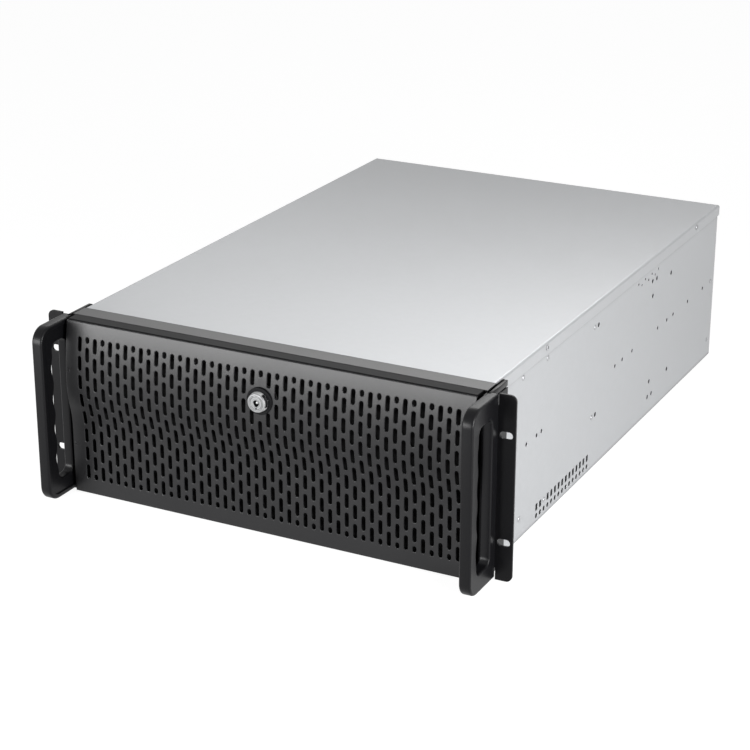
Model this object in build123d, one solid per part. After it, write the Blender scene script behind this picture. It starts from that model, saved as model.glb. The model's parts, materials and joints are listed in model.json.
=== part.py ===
from build123d import *
import os
from math import cos, hypot, radians, sin, sqrt

# A 4U rack server case with a wave-shaped perforated front door, opened up into its pieces.
# Frame: X to the right seen from the front, Y towards the back, Z up. Lengths are millimetres.
# The origin is on the floor, midway between the handle fronts and the back edge of the cover.
# Depths called _Y are measured back from the front face of the rack ears, so the door and the
# handles have negative ones. The helpers below add EAR_Y to turn them into the part's own frame.

# Rack standard
RACK_UNITS = 4
RACK_UNIT = 44.45
RACK_RELIEF = 0.8
RACK_WIDTH = 482.6
RACK_HOLES_X = 465.1
RACK_HOLES_Z = 101.6

# Whole body
BODY_WIDTH = 427.0
BODY_DEPTH = 627.0
HANDLE_REACH = 51.6
REAR_RECESS = 4.0

# Sheet thicknesses, bends and clearances
SHEET = 1.2
COVER_SHEET = 1.0
FRAME_SHEET = 1.5
BEND = 1.2
FIT_GAP = 0.3
SEAT_GAP = 0.1
RUN_GAP = 0.05

# Top cover
COVER_FRONT_Y = 20.3
COVER_SKIRT = 11.8
COVER_BEND = 2.6
COVER_SCREW_DEPTHS = (133.8, 549.8)
COVER_SCREW_DROP = 4.8
COVER_SCREW_RADIUS = 2.8
COVER_SCREW_HEAD = 0.9
TUB_FLANGE = 10.0

# Holes in the side walls, as read from the side of the photo
RAIL_HEIGHT = 91.3
RAIL_DEPTHS = (94.1, 117.9, 129.4, 317.6, 338.2, 366.1, 442.6, 470.7, 490.7, 537.5, 586.8)
RAIL_HOLE_RADIUS = 2.0
CAGE_HOLES = (
    (419.1, 149.9), (431.7, 149.5), (421.8, 133.1), (476.6, 142.1),
    (423.4, 37.8), (420.8, 21.0), (432.7, 21.1), (478.9, 33.0),
)
CAGE_HOLE_RADIUS = 2.4
BAR_HOLES = 7
BAR_HOLE_FIRST_Y = 376.8
BAR_HOLE_PITCH = 9.75
BAR_HOLE_HIGH = 158.8
BAR_HOLE_LOW = 155.2
BAR_HOLE_RADIUS = 1.3
WALL_RIVETS = ((83.2, 159.9), (139.5, 159.7), (82.1, 21.8), (615.0, 91.2), (615.0, 21.8), (141.4, 17.0))
RIVET_RADIUS = 2.6
RIVET_HEAD = 0.8
VENT_COUNT = 15
VENT_FIRST_Y = 123.3
VENT_PITCH = 9.06
VENT_ROUND_RADIUS = 2.5
VENT_ROUND_Z = 8.2
VENT_SLOT_LENGTH = 5.0
VENT_SLOT_HEIGHT = 7.0
VENT_SLOT_Z = 17.0
VENT_SKIPPED = 2

# Front frame behind the door
FRAME_Y = 1.5
FRAME_TOP_LIP = 18.5
FRAME_SIDE_LIP = 17.0
WINDOW_WIDTH = 104.0
WINDOW_BOTTOM = 16.0
WINDOW_TOP = 150.0
BAY_PITCH = 135.0

# Door: a sheet with a wave in it, on a moulded frame
DOOR_SIDE_GAP = 3.0
DOOR_BOTTOM = 1.3
DOOR_TOP_GAP = 0.1
DOOR_BACK_Y = 0.9
DOOR_FLAT_Y = -13.5
DOOR_PEAK_Y = -19.6
DOOR_TOP_Y = -13.55
WAVE_LOW = 66.0
WAVE_HIGH = 114.0
DOOR_SKIN = 1.2
DOOR_GROOVE = 0.9
DOOR_WALL = 4.0
DOOR_RAIL = 2.0
DOOR_FRAME_INSET = 0.5
DOOR_HEEL_Y = -3.0

# Door grille: slots in staggered columns, with short slots filling every other column's ends
GRILLE_COLUMNS = 47
GRILLE_ROWS = 8
GRILLE_PITCH_X = 8.48
GRILLE_PITCH_Z = 18.76
GRILLE_MIDDLE_Z = 89.7
SLOT_WIDTH = 4.0
SLOT_LENGTH = 14.2
SHORT_SLOT = 6.0

# Door hinge, filter and screws
HINGE_Y = -6.5
HINGE_Z = 8.0
PIN_RADIUS = 2.0
PIN_INSET = 8.0
LUG_RADIUS = 4.2
LUG_SHEET = 1.5
LUG_OFFSET = 6.5
LUG_NOTCH = 6.0
FILTER_Y = -8.0
FILTER_THICKNESS = 2.0
FILTER_BOTTOM = 20.0
FILTER_LOCK_HOLE = 12.0
SKIN_SCREW_INSET = 3.0
SKIN_SCREW_HEIGHTS = (127.5, 50.6)
SKIN_SCREW_RADIUS = 1.8
SKIN_SCREW_SHANK = 1.0
SKIN_SCREW_LENGTH = 7.0
SKIN_SCREW_HEAD = 0.6

# Door lock
LOCK_Z = 135.0
LOCK_RING_RADIUS = 13.0
LOCK_RING_PROUD = 1.6
LOCK_HEAD_RADIUS = 9.0
LOCK_HEAD_PROUD = 7.0
LOCK_BARREL_RADIUS = 8.0
LOCK_BACK_Y = 4.0
LOCK_PLUG_RADIUS = 6.0
LOCK_STUB_RADIUS = 3.5
LOCK_NUT_ACROSS = 24.0
LOCK_NUT_THICKNESS = 4.0
KEYWAY_OUTER = 4.0
KEYWAY_INNER = 2.6
KEYWAY_DEPTH = 6.0
CAM_REACH = 28.0
CAM_WIDTH = 14.0
CAM_THICKNESS = 2.0
CAM_GAP = 0.4

# Handles and rack ears
HANDLE_INSET = 1.0
HANDLE_THICKNESS = 10.0
HANDLE_BOTTOM = 1.7
HANDLE_TOP_DROP = 0.7
HANDLE_CORNER = 15.0
HANDLE_EDGE = 2.0
GRIP_FRONT_Y = -39.7
GRIP_BACK_Y = -7.0
GRIP_BOTTOM = 19.7
GRIP_TOP = 157.7
GRIP_CORNER = 7.0
BUMP_HEIGHTS = (119.6, 94.6, 69.6, 44.6)
BUMP_RISE = 4.2
BUMP_RADIUS = 9.0
BUMP_BLEND = 6.0
TONGUE_LENGTH = 34.0
TONGUE_OUT = 2.5
LIP_OUT = 4.5
LIP_HEIGHT = 5.3
EAR_SHEET = 2.0
EAR_BOTTOM = 0.6
EAR_LEG_TOP = 169.6
EAR_CORNER = 6.0
EAR_SLOT_LENGTH = 12.2
EAR_SLOT_WIDTH = 6.8
EAR_NOTCH_OFFSET = 4.9
EAR_NOTCH_WIDTH = 3.9
EAR_NOTCH_DEPTH = 11.3
EAR_SCREW_Y = 12.0
EAR_SCREW_HEIGHTS = (25.0, 88.0, 150.0)
EAR_SCREW_RADIUS = 2.0
EAR_SCREW_HEAD_RADIUS = 3.6
EAR_SCREW_HEAD = 1.6

# Front controls on the bar between the centre and the right bay
CONTROL_WIDTH = 25.0
CONTROL_DEPTH = 16.0
CONTROL_BOTTOM = 22.0
CONTROL_TOP = 136.0
POWER_Z = 122.0
POWER_RADIUS = 6.0
RESET_Z = 103.0
RESET_RADIUS = 3.0
BUTTON_PROUD = 2.0
BUTTON_LENGTH = 9.0
BUTTON_TRAVEL = 2.0
LIGHT_HEIGHTS = (90.0, 82.0, 74.0)
LIGHT_RADIUS = 1.5
LIGHT_LENGTH = 6.0
USB_HEIGHTS = (54.0, 34.0)
USB_WIDTH = 6.0
USB_HEIGHT = 13.4
USB_DEPTH = 12.0
USB_WALL = 0.5
USB_TONGUE = 1.8
PORT_GAP = 0.3

# Drive cages and drives
CAGE_FRONT_Y = 45.0
CAGE_DEPTH = 155.0
CAGE_WIDTH = 108.0
CAGE_HEIGHT = 149.0
CAGE_SHEET = 1.0
CAGE_LEDGE = 6.0
DRIVE_BAYS = 5
BAY_HEIGHT = 29.0
DRIVE_WIDTH = 101.6
DRIVE_HEIGHT = 26.1
DRIVE_LENGTH = 147.0
DRIVE_FRONT_Y = 48.0

# Fan wall and fans
FAN_WALL_Y = 255.0
FAN_WALL_TOP = 172.0
FAN_WALL_LIP = 16.0
FAN_WALL_RIVET_HEIGHTS = (151.2, 57.6)
FAN_WALL_RIVET_BACK = 3.0
FAN_WALL_HOLE_BACK = 12.0
WALL_FAN_SIZE = 120.0
WALL_FAN_PITCH = 130.0
WALL_FAN_Z = 88.0
REAR_FAN_SIZE = 80.0
REAR_FAN_Z = 105.0
FAN_DEPTH = 25.0
FAN_DUCT_WALL = 2.0
FAN_TIP_GAP = 1.6
FAN_BLADES = 7
BLADE_THICKNESS = 1.6
BLADE_PITCH = 40.0
FAN_SEAT = 4.0
FAN_SHAFT_RADIUS = 1.5
FAN_CORNER = 4.0
FAN_SCREW_RADIUS = 2.2
HUB_SHARE_OF_DUCT = 0.34

# Mainboard and what it carries
BOARD_WIDTH = 305.0
BOARD_DEPTH = 326.0
BOARD_THICKNESS = 1.6
BOARD_RIGHT_X = 112.0
BOARD_BACK_GAP = 3.0
STANDOFF_HEIGHT = 6.5
STANDOFF_RADIUS = 3.0
STANDOFF_HOLE = 2.0
COOLER_WIDTH = 90.0
COOLER_BASE = 6.0
COOLER_HEIGHT = 68.0
COOLER_FINS = 20
COOLER_FIN = 1.0
COOLER_X = 58.0
COOLER_DEPTHS = (352.0, 478.0)
SOCKET_WIDTH = 70.0
SOCKET_HEIGHT = 7.0
MEMORY_PER_COOLER = 4
MEMORY_PITCH = 9.5
MEMORY_FIRST_X = -4.0
MEMORY_LENGTH = 133.35
MEMORY_HEIGHT = 31.0
MEMORY_BOARD = 1.3
MEMORY_SLOT_LENGTH = 142.0
MEMORY_SLOT_WIDTH = 6.5
MEMORY_SLOT_HEIGHT = 8.0
MEMORY_SLOT_CUT = 5.0
MEMORY_DEPTHS = (368.0, 515.0)

# Expansion cards and their slots at the back
CARD_PITCH = 20.32
CARD_SLOTS = 7
CARD_COUNT = 3
CARD_BOARD = 1.6
CARD_LENGTH = 262.0
CARD_WIDTH = 36.0
CARD_BOTTOM = 23.0
CARD_TOP = 120.0
CARD_SHROUD = 1.5
CARD_FINS = 8
CARD_FIN = 1.0
CARD_TAB_LENGTH = 83.0
CARD_TAB_BOTTOM = 14.0
EDGE_SLOT_LENGTH = 89.0
EDGE_SLOT_WIDTH = 7.5
EDGE_SLOT_HEIGHT = 11.2
EDGE_SLOT_CUT = 8.0
EDGE_SLOT_BACK_GAP = 14.0
BRACKET_SHEET = 0.9
BRACKET_BOTTOM = 14.0
BRACKET_TOP = 122.0
BRACKET_MARGIN = 1.6
BRACKET_TAB = 4.0
BRACKET_VENTS = 6
CARD_OPENING_WIDTH = 14.0
CARD_OPENING_BOTTOM = 18.0
CARD_OPENING_TOP = 114.0
BAR_Y = 396.0
BAR_DEPTH = 20.0
BAR_Z = 150.0
BAR_LIP = 12.0
BAR_FOOT_WIDTH = 14.0

# Ports at the back
IO_WIDTH = 158.75
IO_HEIGHT = 44.45
IO_BOTTOM = 8.5
IO_BORDER = 2.5
IO_CARD_GAP = 4.0
IO_SHEET = 0.6
PORT_PROUD = 1.5
PORT_LENGTH = 20.0
JACK_OFFSETS = (58.0, 78.0)
JACK_WIDTH = 16.0
JACK_HEIGHT = 13.5
JACK_WALL = 1.6
STACK_OFFSETS = (96.0, 114.0)
STACK_WIDTH = 14.5
STACK_HEIGHT = 15.6
STACK_OPENING_HEIGHT = 5.6

# Power supply
SUPPLY_WIDTH = 86.0
SUPPLY_HEIGHT = 150.0
SUPPLY_DEPTH = 160.0
SUPPLY_SHEET = 1.2
SUPPLY_GAP_X = 5.0
SUPPLY_MARGIN = 4.0
SUPPLY_FAN_UP = 103.0
INLET_UP = 27.0
INLET_WIDTH = 28.0
INLET_HEIGHT = 20.0
INLET_DEPTH = 24.0
INLET_WALL = 2.0
INLET_CAVITY = 17.0
INLET_PIN_SETBACK = 6.0
INLET_PIN_WIDTH = 2.0
INLET_PIN_HEIGHT = 4.0
INLET_PIN_PITCH = 7.0
SWITCH_UP = 50.0
SWITCH_WIDTH = 21.0
SWITCH_HEIGHT = 13.0
SWITCH_FRAME = 1.5
SWITCH_DEPTH = 14.0
ROCKER_SETBACK = 7.0
ROCKER_TILT = 8.0
ROCKER_PIN = 1.2

# Vents and screws of the back panel
REAR_LIP = 12.0
VENT_ROWS = 9
VENT_ROW_HEIGHT = 4.6
TOP_VENT_COUNT = 16
TOP_VENT_WIDTH = 4.0
TOP_VENT_BOTTOM = 134.0
TOP_VENT_TOP = 166.0
REAR_SCREW_RADIUS = 3.2
REAR_SCREW_HEAD = 2.0

# Sizes worked out from the ones above
BODY_HEIGHT = RACK_UNITS * RACK_UNIT - RACK_RELIEF
EAR_Y = HANDLE_REACH - (HANDLE_REACH + BODY_DEPTH) / 2
COVER_HALF = BODY_WIDTH / 2
TUB_HALF = COVER_HALF - COVER_SHEET - FIT_GAP
TUB_INNER = TUB_HALF - SHEET
TUB_TOP = BODY_HEIGHT - COVER_SHEET
TUB_BACK_Y = BODY_DEPTH - COVER_SHEET - FIT_GAP
REAR_Y = TUB_BACK_Y - REAR_RECESS
REAR_INNER_Y = REAR_Y - SHEET
REAR_TOP = TUB_TOP - SHEET
FRAME_BACK_Y = FRAME_Y + FRAME_SHEET
SKIRT_BOTTOM = BODY_HEIGHT - COVER_SKIRT
DOOR_HALF = COVER_HALF - DOOR_SIDE_GAP
DOOR_TOP = BODY_HEIGHT - DOOR_TOP_GAP
SKIN_TOP = DOOR_TOP - DOOR_GROOVE
FRAME_HALF = DOOR_HALF - DOOR_FRAME_INSET
DOOR_INNER = FRAME_HALF - DOOR_WALL
HANDLE_X = COVER_HALF + HANDLE_INSET
HANDLE_TOP = BODY_HEIGHT - HANDLE_TOP_DROP
TONGUE_X = COVER_HALF + FIT_GAP
EAR_X = TONGUE_X + TONGUE_OUT
EAR_OUTER_X = EAR_X + EAR_SHEET
BAYS_X = (-BAY_PITCH, 0.0, BAY_PITCH)
BAY_NAMES = ("left", "centre", "right")
CONTROL_X = BAY_PITCH / 2
FAN_WALL_BACK_Y = FAN_WALL_Y + SHEET
WALL_FANS_X = (-WALL_FAN_PITCH, 0.0, WALL_FAN_PITCH)
BOARD_LEFT_X = BOARD_RIGHT_X - BOARD_WIDTH
BOARD_BOTTOM = SHEET + STANDOFF_HEIGHT
BOARD_TOP = BOARD_BOTTOM + BOARD_THICKNESS
BOARD_BACK_Y = REAR_INNER_Y - BOARD_BACK_GAP
BOARD_FRONT_Y = BOARD_BACK_Y - BOARD_DEPTH
IO_RIGHT_X = BOARD_RIGHT_X - SHEET
IO_LEFT_X = IO_RIGHT_X - IO_WIDTH
IO_TOP = IO_BOTTOM + IO_HEIGHT
REAR_FANS_X = (IO_LEFT_X + REAR_FAN_SIZE / 2, IO_LEFT_X + REAR_FAN_SIZE * 3 / 2)
REAR_FAN_NAMES = ("left", "right")
REAR_FAN_Y = REAR_INNER_Y - FAN_DEPTH
CARD_BACK_Y = REAR_INNER_Y - BRACKET_SHEET
CARD_FRONT_Y = CARD_BACK_Y - CARD_LENGTH
SUPPLY_RIGHT_X = TUB_INNER - SUPPLY_GAP_X
SUPPLY_LEFT_X = SUPPLY_RIGHT_X - SUPPLY_WIDTH
SUPPLY_X = (SUPPLY_LEFT_X + SUPPLY_RIGHT_X) / 2
SUPPLY_BOTTOM = SHEET
SUPPLY_TOP = SUPPLY_BOTTOM + SUPPLY_HEIGHT
SUPPLY_FRONT_Y = REAR_INNER_Y - SUPPLY_DEPTH
SUPPLY_FAN_Z = SUPPLY_BOTTOM + SUPPLY_FAN_UP
SUPPLY_FAN_Y = REAR_INNER_Y - SUPPLY_SHEET - FAN_DEPTH
INLET_Z = SUPPLY_BOTTOM + INLET_UP
WALL_FAN = (FAN_WALL_BACK_Y, WALL_FAN_Z, WALL_FAN_SIZE)
REAR_FAN = (REAR_FAN_Y, REAR_FAN_Z, REAR_FAN_SIZE)
SUPPLY_FAN = (SUPPLY_FAN_Y, SUPPLY_FAN_Z, REAR_FAN_SIZE)
SWITCH_Z = SUPPLY_BOTTOM + SWITCH_UP


def block(x0, x1, y0, y1, z0, z1):
    """Box between two corners."""
    middle = Pos((x0 + x1) / 2, EAR_Y + (y0 + y1) / 2, (z0 + z1) / 2)
    return middle * Box(x1 - x0, y1 - y0, z1 - z0)


def rod_along_x(x0, x1, y, z, radius):
    """Round bar along X."""
    return Pos((x0 + x1) / 2, EAR_Y + y, z) * Rot(0, 90, 0) * Cylinder(radius, x1 - x0)


def rod_along_y(x, y0, y1, z, radius):
    """Round bar along Y."""
    return Pos(x, EAR_Y + (y0 + y1) / 2, z) * Rot(90, 0, 0) * Cylinder(radius, y1 - y0)


def rod_along_z(x, y, z0, z1, radius):
    """Round bar along Z."""
    return Pos(x, EAR_Y + y, (z0 + z1) / 2) * Cylinder(radius, z1 - z0)


def prism_along_x(outline, x0, x1):
    """Outline drawn in Y and Z, carried from x0 to x1."""
    plane = Plane(origin=(x0, EAR_Y, 0), x_dir=(0, 1, 0), z_dir=(1, 0, 0))
    return extrude(plane * outline, amount=x1 - x0)


def prism_along_y(outline, y0, y1):
    """Outline drawn in X and Z, carried from y0 back to y1."""
    plane = Plane(origin=(0, EAR_Y + y1, 0), x_dir=(1, 0, 0), z_dir=(0, -1, 0))
    return extrude(plane * outline, amount=y1 - y0)


def window(x0, x1, z0, z1):
    """Rectangle outline between two corners."""
    return Pos((x0 + x1) / 2, (z0 + z1) / 2) * Rectangle(x1 - x0, z1 - z0)


def other_side(shape):
    """The same shape on the other side of the case."""
    return mirror(shape, about=Plane.YZ)


def group(solids):
    """Several equal solids kept as one part."""
    return Compound(children=list(solids))


def wall_points():
    """Rivets of both side walls as depth and height."""
    wall_rivets = list(WALL_RIVETS)
    wall_rivets += [(FAN_WALL_Y + FAN_WALL_RIVET_BACK, z) for z in FAN_WALL_RIVET_HEIGHTS]
    return wall_rivets


# Case: tub, cover, back panel and front frame
def wall_cutters():
    """Bars that pierce the right side wall: rail holes, cage holes, bar holes and vents."""
    x0, x1 = TUB_INNER - 1, TUB_HALF + 1
    bars = [rod_along_x(x0, x1, y, RAIL_HEIGHT, RAIL_HOLE_RADIUS) for y in RAIL_DEPTHS]
    bars += [rod_along_x(x0, x1, y, z, CAGE_HOLE_RADIUS) for y, z in CAGE_HOLES]
    for z in FAN_WALL_RIVET_HEIGHTS:
        bars.append(rod_along_x(x0, x1, FAN_WALL_Y + FAN_WALL_HOLE_BACK, z, CAGE_HOLE_RADIUS))
    for index in range(BAR_HOLES):
        height = BAR_HOLE_HIGH if index % 2 == 0 else BAR_HOLE_LOW
        depth = BAR_HOLE_FIRST_Y + index * BAR_HOLE_PITCH
        bars.append(rod_along_x(x0, x1, depth, height, BAR_HOLE_RADIUS))
    for index in range(VENT_COUNT):
        depth = VENT_FIRST_Y + index * VENT_PITCH
        bars.append(rod_along_x(x0, x1, depth, VENT_ROUND_Z, VENT_ROUND_RADIUS))
        if index != VENT_SKIPPED:
            slot = Pos(depth, VENT_SLOT_Z) * RectangleRounded(VENT_SLOT_LENGTH, VENT_SLOT_HEIGHT, 1)
            bars.append(prism_along_x(slot, x0, x1))
    for z in EAR_SCREW_HEIGHTS:
        bars.append(rod_along_x(x0, x1, EAR_SCREW_Y, z, EAR_SCREW_RADIUS + SEAT_GAP))
    return bars


def make_tub():
    """Floor and both side walls, bent from one sheet, with flanges that carry the cover."""
    outer = window(-TUB_HALF, TUB_HALF, 0, TUB_TOP)
    outer = fillet(outer.vertices(), BEND + SHEET)
    inner = window(-TUB_INNER, TUB_INNER, SHEET, TUB_TOP - SHEET)
    inner = fillet(inner.vertices(), BEND)
    mouth = window(TUB_FLANGE - TUB_HALF, TUB_HALF - TUB_FLANGE, TUB_TOP / 2, TUB_TOP + 1)
    tub = prism_along_y(outer - inner - mouth, FRAME_BACK_Y, TUB_BACK_Y)
    wall_top = TUB_TOP - 2 * SHEET - BEND
    tub -= block(-TUB_HALF, TUB_HALF, 0, COVER_FRONT_Y, wall_top, TUB_TOP + 1)
    tub -= block(-TUB_HALF, TUB_HALF, TUB_BACK_Y - COVER_BEND, TUB_BACK_Y + 1, wall_top, TUB_TOP + 1)
    cutters = wall_cutters()
    return tub - cutters - [other_side(bar) for bar in cutters]


def make_cover():
    """Top cover with a skirt on both sides and at the back."""
    outer = block(-COVER_HALF, COVER_HALF, COVER_FRONT_Y, BODY_DEPTH, SKIRT_BOTTOM, BODY_HEIGHT)
    upper = outer.edges().filter_by(lambda edge: edge.center().Z > BODY_HEIGHT - 0.01)
    bends = upper.filter_by(Axis.Y) + upper.filter_by(Axis.X).sort_by(Axis.Y)[-1:]
    outer = fillet(bends, COVER_BEND)
    side, back = COVER_HALF - COVER_SHEET, BODY_DEPTH - COVER_SHEET
    inner = block(-side, side, COVER_FRONT_Y - 1, back, SKIRT_BOTTOM - 1, BODY_HEIGHT - COVER_SHEET)
    upper = inner.edges().filter_by(lambda edge: edge.center().Z > TUB_TOP - 0.01)
    bends = upper.filter_by(Axis.Y) + upper.filter_by(Axis.X).sort_by(Axis.Y)[-1:]
    return outer - fillet(bends, COVER_BEND - COVER_SHEET)


def make_cover_screws():
    """Low heads of the screws that hold the cover's skirts."""
    screws = []
    for depth in COVER_SCREW_DEPTHS:
        z = BODY_HEIGHT - COVER_SCREW_DROP
        head = rod_along_x(COVER_HALF, COVER_HALF + COVER_SCREW_HEAD, depth, z, COVER_SCREW_RADIUS)
        rim = head.edges().sort_by(Axis.X)[-1:]
        head = chamfer(rim, COVER_SCREW_HEAD / 2)
        screws += [head, other_side(head)]
    return group(screws)


def fan_vent(x, z, size):
    """Rows of slots that fill a fan's circle."""
    pitch = (size - 2 * FAN_DUCT_WALL) / VENT_ROWS
    reach = size / 2 - 2 * FAN_DUCT_WALL
    rows = []
    for index in range(VENT_ROWS):
        offset = (index - (VENT_ROWS - 1) / 2) * pitch
        half = sqrt(max(reach ** 2 - offset ** 2, VENT_ROW_HEIGHT ** 2))
        slot = SlotOverall(half - VENT_ROW_HEIGHT / 2, VENT_ROW_HEIGHT)
        middle = half / 2 + VENT_ROW_HEIGHT / 4
        rows += [Pos(x - middle, z + offset) * slot, Pos(x + middle, z + offset) * slot]
    return rows


def card_x(slot):
    """Middle of a card slot, counted from the port side."""
    return IO_LEFT_X - IO_CARD_GAP - CARD_PITCH * (slot + 0.5)


def make_rear_panel():
    """Back panel with openings for ports, cards, power supply and fans."""
    panel = fillet(window(-TUB_INNER, TUB_INNER, SHEET, REAR_TOP).vertices(), BEND)
    cuts = [window(IO_LEFT_X, IO_RIGHT_X, IO_BOTTOM, IO_TOP)]
    cuts.append(window(
        SUPPLY_LEFT_X + SUPPLY_MARGIN, SUPPLY_RIGHT_X - SUPPLY_MARGIN,
        SUPPLY_BOTTOM + SUPPLY_MARGIN, SUPPLY_TOP - SUPPLY_MARGIN))
    for slot in range(CARD_SLOTS):
        left = card_x(slot) - CARD_OPENING_WIDTH / 2
        cuts.append(window(left, left + CARD_OPENING_WIDTH, CARD_OPENING_BOTTOM, CARD_OPENING_TOP))
        tab = window(left - 2, left + CARD_OPENING_WIDTH + 2, BRACKET_TOP - 2, BRACKET_TOP + 1)
        cuts.append(tab)
    for x in REAR_FANS_X:
        cuts += fan_vent(x, REAR_FAN_Z, REAR_FAN_SIZE)
    pitch = CARD_PITCH * CARD_SLOTS / TOP_VENT_COUNT
    height = TOP_VENT_TOP - TOP_VENT_BOTTOM
    vent_right_x = IO_LEFT_X - IO_CARD_GAP
    for index in range(TOP_VENT_COUNT):
        place = Pos(vent_right_x - pitch * (index + 0.5), (TOP_VENT_TOP + TOP_VENT_BOTTOM) / 2)
        cuts.append(place * SlotOverall(height, TOP_VENT_WIDTH, rotation=90))
    plate = prism_along_y(panel - cuts, REAR_INNER_Y, REAR_Y)
    lip_y = REAR_INNER_Y - REAR_LIP
    lip = block(TUB_INNER - SHEET, TUB_INNER, lip_y, REAR_INNER_Y, SHEET + BEND, REAR_TOP - BEND)
    return plate + lip + other_side(lip)


def lug_outline():
    """Ear bent forward from the front frame to hold a hinge pin."""
    arm = window(HINGE_Y, FRAME_Y + FRAME_SHEET / 2, HINGE_Z - LUG_RADIUS / 2, HINGE_Z + LUG_RADIUS)
    lug = Pos(HINGE_Y, HINGE_Z) * Circle(LUG_RADIUS) + arm
    return lug - Pos(HINGE_Y, HINGE_Z) * Circle(PIN_RADIUS + RUN_GAP)


def make_front_frame():
    """Black front frame: plate with three bays, lips on all sides and two hinge lugs."""
    plate = window(-TUB_HALF, TUB_HALF, 0, BODY_HEIGHT)
    cuts = []
    for x in BAYS_X:
        opening = window(x - WINDOW_WIDTH / 2, x + WINDOW_WIDTH / 2, WINDOW_BOTTOM, WINDOW_TOP)
        cuts.append(fillet(opening.vertices(), 3))
    cuts.append(Pos(CONTROL_X, POWER_Z) * Circle(POWER_RADIUS + FIT_GAP))
    cuts.append(Pos(CONTROL_X, RESET_Z) * Circle(RESET_RADIUS + FIT_GAP))
    cuts += [Pos(CONTROL_X, z) * Circle(LIGHT_RADIUS + SEAT_GAP) for z in LIGHT_HEIGHTS]
    usb = Rectangle(USB_WIDTH + 2 * PORT_GAP, USB_HEIGHT + 2 * PORT_GAP)
    cuts += [Pos(CONTROL_X, z) * usb for z in USB_HEIGHTS]
    frame = prism_along_y(plate - cuts, FRAME_Y, FRAME_BACK_Y)
    top = BODY_HEIGHT - FRAME_SHEET
    frame += block(-COVER_HALF, COVER_HALF, FRAME_Y, FRAME_Y + FRAME_TOP_LIP, top, BODY_HEIGHT)
    floor = SHEET + FRAME_SHEET
    lips_back = FRAME_BACK_Y + FRAME_SIDE_LIP
    frame += block(-TUB_INNER + BEND, TUB_INNER - BEND, FRAME_Y, lips_back, SHEET, floor)
    side = block(TUB_INNER - FRAME_SHEET, TUB_INNER, FRAME_Y, lips_back, floor + BEND, REAR_TOP - BEND)
    for z in EAR_SCREW_HEIGHTS:
        side -= rod_along_x(0, COVER_HALF, EAR_SCREW_Y, z, EAR_SCREW_RADIUS + SEAT_GAP)
    lug_x = FRAME_HALF - LUG_OFFSET
    lug = prism_along_x(lug_outline(), lug_x - LUG_SHEET, lug_x)
    return frame + side + other_side(side) + lug + other_side(lug)


def make_rivets():
    """Rivet heads on both side walls."""
    rivets = []
    for y, z in wall_points():
        head = rod_along_x(TUB_HALF, TUB_HALF + RIVET_HEAD, y, z, RIVET_RADIUS)
        head = chamfer(head.edges().sort_by(Axis.X)[-1:], RIVET_HEAD / 2)
        rivets += [head, other_side(head)]
    return group(rivets)


# Handles and ears
def grip_outline():
    """Opening of a handle, with bumps for the fingers along its front edge."""
    opening = window(GRIP_FRONT_Y, GRIP_BACK_Y, GRIP_BOTTOM, GRIP_TOP)
    opening = fillet(opening.vertices(), GRIP_CORNER)
    bump_y = GRIP_FRONT_Y + BUMP_RISE - BUMP_RADIUS
    opening -= [Pos(bump_y, z) * Circle(BUMP_RADIUS) for z in BUMP_HEIGHTS]
    near_front = GRIP_FRONT_Y + BUMP_RISE / 2
    feet = [
        corner for corner in opening.vertices()
        if corner.X < near_front and BUMP_HEIGHTS[-1] - BUMP_RADIUS < corner.Y < BUMP_HEIGHTS[0] + BUMP_RADIUS
    ]
    return fillet(feet, BUMP_BLEND)


def make_handle():
    """Right handle: a loop in front of the ear and a tongue along the case."""
    loop = window(-HANDLE_REACH, 0, HANDLE_BOTTOM, HANDLE_TOP)
    front = loop.vertices().sort_by(Axis.X)[:2]
    loop = fillet(front, HANDLE_CORNER)
    grip = prism_along_x(grip_outline(), HANDLE_X - 1, HANDLE_X + HANDLE_THICKNESS + 1)
    body = prism_along_x(loop, HANDLE_X, HANDLE_X + HANDLE_THICKNESS)
    sides = body.faces().filter_by(Axis.X)
    rim = ShapeList(edge for face in sides for edge in face.edges() if edge.center().Y < EAR_Y - 0.5)
    body = fillet(rim, HANDLE_EDGE) - grip
    upper = block(TONGUE_X, EAR_X, GRIP_BACK_Y, TONGUE_LENGTH, EAR_BOTTOM, HANDLE_TOP)
    lower = block(TUB_HALF, EAR_X, GRIP_BACK_Y, TONGUE_LENGTH, EAR_BOTTOM, SKIRT_BOTTOM - FIT_GAP)
    lip_bottom = HANDLE_TOP - LIP_HEIGHT
    lip = block(TONGUE_X, TONGUE_X + LIP_OUT, -HANDLE_EDGE, TONGUE_LENGTH, lip_bottom, HANDLE_TOP)
    handle = body + [upper, lower, lip]
    for z in EAR_SCREW_HEIGHTS:
        handle -= rod_along_x(TUB_HALF - 1, EAR_X + 1, EAR_SCREW_Y, z, EAR_SCREW_RADIUS + SEAT_GAP)
    return handle


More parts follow.
